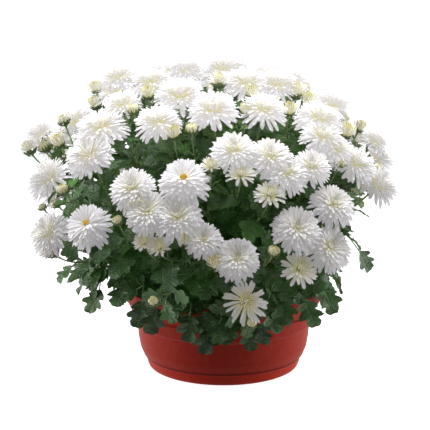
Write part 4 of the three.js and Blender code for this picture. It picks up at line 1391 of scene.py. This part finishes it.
# The pot's section as (radius, height) in millimetres: its foot from the axis out, its outside
# upwards, and its inside, which is followed down from the rim.
POT_OUTSIDE = (
    (84.0, 0.0), (88.2, 1.8), (90.0, 6.0), (91.8, 13.5), (94.4, 16.0), (98.4, 26.0), (100.5, 38.5),
    (101.6, 53.5), (105.8, 55.6), (107.8, 58.5), (108.8, 72.0), (114.5, 82.0), (117.0, 86.0),
    (117.0, 95.5), (116.4, 98.0))
POT_INSIDE = (
    (84.0, 2.2), (90.0, 13.5), (99.4, 54.0), (105.8, 72.0), (114.6, 86.0), (115.2, 98.0))
FOOT_RING = ((0.0, 1.2), (75.0, 1.2), (76.6, 0.0))
DRAIN_HOLES = 8
DRAIN_RING = 0.058
DRAIN_RADIUS = 0.005
DRILL = ((0, -0.003), (DRAIN_RADIUS, -0.003), (DRAIN_RADIUS, 0.006), (0, 0.006))
POT_SIDES = 120
CORNER_RADIUS = 1.6


def eased(profile, radius, steps=4):
    """The profile with each inner corner rounded."""
    profile = [np.array(point, float) for point in profile]
    rounded = [profile[0]]
    for before, corner, after in zip(profile, profile[1:], profile[2:]):
        sides = (before - corner, after - corner)
        reach = min(radius, *(np.linalg.norm(side) * 0.45 for side in sides))
        start, end = (corner + unit(side) * reach for side in sides)
        rounded.extend(Curve(start, corner, end).points(steps))
    rounded.append(profile[-1])
    return np.array(rounded)


def drill():
    """The rods that the drainage holes are cut with."""
    rod, shape = Shape(), Shape()
    add_lathe(rod, DRILL, 24)
    for index in range(DRAIN_HOLES):
        turn = 2 * math.pi * (index + 0.5) / DRAIN_HOLES
        shape.take(rod, np.eye(3), around_axis(DRAIN_RING, turn))
    return shape.make("drill")


class BuildPot(bpy.types.Operator):
    """Build the moulded bowl pot with its bands and drainage holes"""
    bl_idname = "plant.pot"
    bl_label = "Pot"

    def execute(self, context):
        outline = FOOT_RING + POT_OUTSIDE + POT_INSIDE[::-1] + ((0.0, 2.2),)
        shape = Shape()
        add_lathe(shape, eased(outline, CORNER_RADIUS) * MM, POT_SIDES)
        pot = shape.make("pot_shell", pot_material(context.scene.pot_settings))
        cutter = drill()
        holes = pot.modifiers.new("drain holes", "BOOLEAN")
        holes.operation = "DIFFERENCE"
        holes.solver = "EXACT"
        holes.object = cutter
        bpy.context.view_layer.objects.active = pot
        bpy.ops.object.modifier_apply(modifier=holes.name)
        bpy.data.objects.remove(cutter)
        place(pot, "terracotta_plastic", "pot")
        return {"FINISHED"}


# The peat's section, and its top, which domes, is rough above CRUST_ABOVE and has clods strewn
# over it. CLOD is the section of a clod in shares of its size.
SOIL_RADIUS = 0.1092
SOIL_BOTTOM = 0.0030
SOIL_SIDE = ((0.081, SOIL_BOTTOM), (0.0975, 0.052), (0.1030, 0.070))
SOIL_DOMING = 0.0035
CRUST_ABOVE = 0.080
CRUST_ROUGHNESS = 0.0009
CLODS = 420
CLOD_SIZES = (0.0012, 0.0038)
CLOD = np.array([(0, -0.9), (0.8, -0.5), (1.0, 0.1), (0.6, 0.7), (0, 0.9)])


def soil_height(radius):
    """How high the soil lies at a radius. It is a little higher in the middle."""
    return SOIL_TOP - SOIL_DOMING * (radius / SOIL_RADIUS) ** 2


class BuildSoil(bpy.types.Operator):
    """Build the peat with its crumbly surface"""
    bl_idname = "plant.soil"
    bl_label = "Soil"

    def execute(self, context):
        rng = np.random.default_rng(SOIL_SEED)
        shape = Shape()
        top = [(radius, soil_height(radius)) for radius in np.linspace(SOIL_RADIUS, 0.001, 34)]
        add_lathe(shape, [(0, SOIL_BOTTOM), *SOIL_SIDE, *top, (0, SOIL_TOP)], 132)
        points = shape.points[0]
        crust = points[:, 2] > CRUST_ABOVE
        crust &= np.hypot(points[:, 0], points[:, 1]) < SOIL_RADIUS - 0.001
        points[crust, 2] += rng.normal(0, CRUST_ROUGHNESS, crust.sum())
        for _ in range(CLODS):
            away = (SOIL_RADIUS - 0.006) * math.sqrt(rng.uniform())
            turn = rng.uniform(0, 2 * np.pi)
            size = rng.uniform(*CLOD_SIZES)
            clod = Shape()
            add_lathe(clod, CLOD * size, 7)
            clod.points[0] = clod.points[0] * rng.uniform(0.7, 1.25, clod.points[0].shape)
            shape.take(clod, turned_to(unit(rng.normal(size=3)), 0.0),
                       around_axis(away, turn, soil_height(away) + size * 0.2))
        soil = shape.make("soil_surface", soil_material(context.scene.pot_settings))
        place(soil, "peat", "potting_soil")
        return {"FINISHED"}


# Each soft box: its name, where it stands, what it faces, how wide it is and its power in watts.
SOFTBOXES = (
    ("Key_softbox", (-0.05, 0.04, 0.92), (0, 0, 0.20), 0.70, 6),
    ("Left_softbox", (-1.25, 0.10, 0.22), (0, 0, 0.10), 0.8, 10),
    ("Right_softbox", (1.25, 0.10, 0.22), (0, 0, 0.10), 0.8, 10),
)
# Half the floor's width, how far it lies under the pot, and the section of the round backdrop.
FLOOR_HALF = 12.0
FLOOR_DROP = 0.0006
BACKDROP = ((0, -0.02), (11.5, -0.02), (11.5, 3), (10, 6), (6, 8), (0, 9))


def studio_light():
    """A white room: bright above and at the sides, dimmer in front, behind and below."""
    shader = Shader("Studio", bpy.data.worlds, "Background")
    way = shader.wire("ShaderNodeTexCoord", output="Generated")
    parts = shader.node("ShaderNodeSeparateXYZ", {}, {0: way})
    back, up = [Wire(shader, out) for out in parts.outputs[1:]]
    front_dark = shader.smooth(back, -0.75, 0.05) * 0.54 + 0.22
    back_dark = shader.smooth(back, 0.1, 0.95) * 0.38
    ground = shader.smooth(up, -0.3, 0.1) * 0.5 + 0.5
    zenith = shader.smooth(up + back * 0.15, 0.50, 1.0) * 1.10
    strength = (front_dark - back_dark) * ground + zenith
    return shader.set(color=(1.0, 1.0, 1.0), strength=strength)


def add_light(name, place_at, aim, size, power):
    """A soft box that faces a point."""
    data = bpy.data.lights.new(name, "AREA")
    data.shape = "SQUARE"
    data.size = size
    data.energy = power
    light = bpy.data.objects.new(name, data)
    light.location = place_at
    light.rotation_euler = (Vector(place_at) - Vector(aim)).to_track_quat("Z", "Y").to_euler()
    bpy.context.scene.collection.objects.link(light)


def set_piece(shape, name, finish, *unseen_by):
    """A part of the studio, which some kinds of ray pass through."""
    piece = shape.make(name, finish)
    for ray in unseen_by:
        setattr(piece, f"visible_{ray}", False)
    return piece


class BuildStage(bpy.types.Operator):
    """Build the floor, the lights and the camera"""
    bl_idname = "plant.stage"
    bl_label = "Stage"

    def execute(self, context):
        sizes = context.scene.stage_settings
        scene = context.scene
        finish = floor_material(sizes)
        ground, wall = Shape(), Shape()
        corners = np.array([[-1, -1, 0], [1, -1, 0], [1, 1, 0], [-1, 1, 0]]) * FLOOR_HALF
        ground.add(corners - FLOOR_DROP * Z, [[[0, 1, 2, 3]]])
        floor = set_piece(ground, "floor", finish, "diffuse")
        add_lathe(wall, BACKDROP, 64)
        backdrop = set_piece(wall, "backdrop", finish, "diffuse", "glossy", "shadow")
        scene.world = studio_light()
        for softbox in SOFTBOXES:
            add_light(*softbox)
        data = bpy.data.cameras.new("Camera")
        data.lens = sizes.lens
        data.sensor_width = 36
        camera = bpy.data.objects.new("Camera", data)
        camera.location = sizes.camera
        camera.rotation_euler = (math.pi / 2 - sizes.pitch, 0, 0)
        scene.collection.objects.link(camera)
        scene.camera = camera
        scene.view_settings.view_transform = "Standard"
        scene.view_settings.look = "None"
        return {"FINISHED"}


OPERATORS = (BuildStage, BuildPot, BuildSoil, BuildCuttings, BuildStalks, BuildBlooms)


class PlantPanel(bpy.types.Panel):
    """The pieces of the plant and their settings"""
    bl_idname = "VIEW3D_PT_plant"
    bl_label = "Pot chrysanthemum"
    bl_space_type = "VIEW_3D"
    bl_region_type = "UI"
    bl_category = "Plant"

    def draw(self, context):
        for operator in OPERATORS:
            self.layout.operator(operator.bl_idname)
        for name in SETTINGS:
            box = self.layout.box()
            settings = getattr(context.scene, name)
            for setting in settings.__annotations__:
                box.prop(settings, setting)


KINDS = (*SETTINGS.values(), *OPERATORS, PlantPanel)


def register():
    for kind in KINDS:
        bpy.utils.register_class(kind)
    for name, kind in SETTINGS.items():
        setattr(bpy.types.Scene, name, bpy.props.PointerProperty(type=kind))


def unregister():
    for name in SETTINGS:
        delattr(bpy.types.Scene, name)
    for kind in reversed(KINDS):
        bpy.utils.unregister_class(kind)


def main():
    register()
    bpy.ops.plant.stage()
    bpy.ops.plant.pot()
    bpy.ops.plant.soil()
    bpy.ops.plant.cuttings()
    bpy.ops.plant.stalks()
    bpy.ops.plant.blooms()


if __name__ == "__main__":
    main()
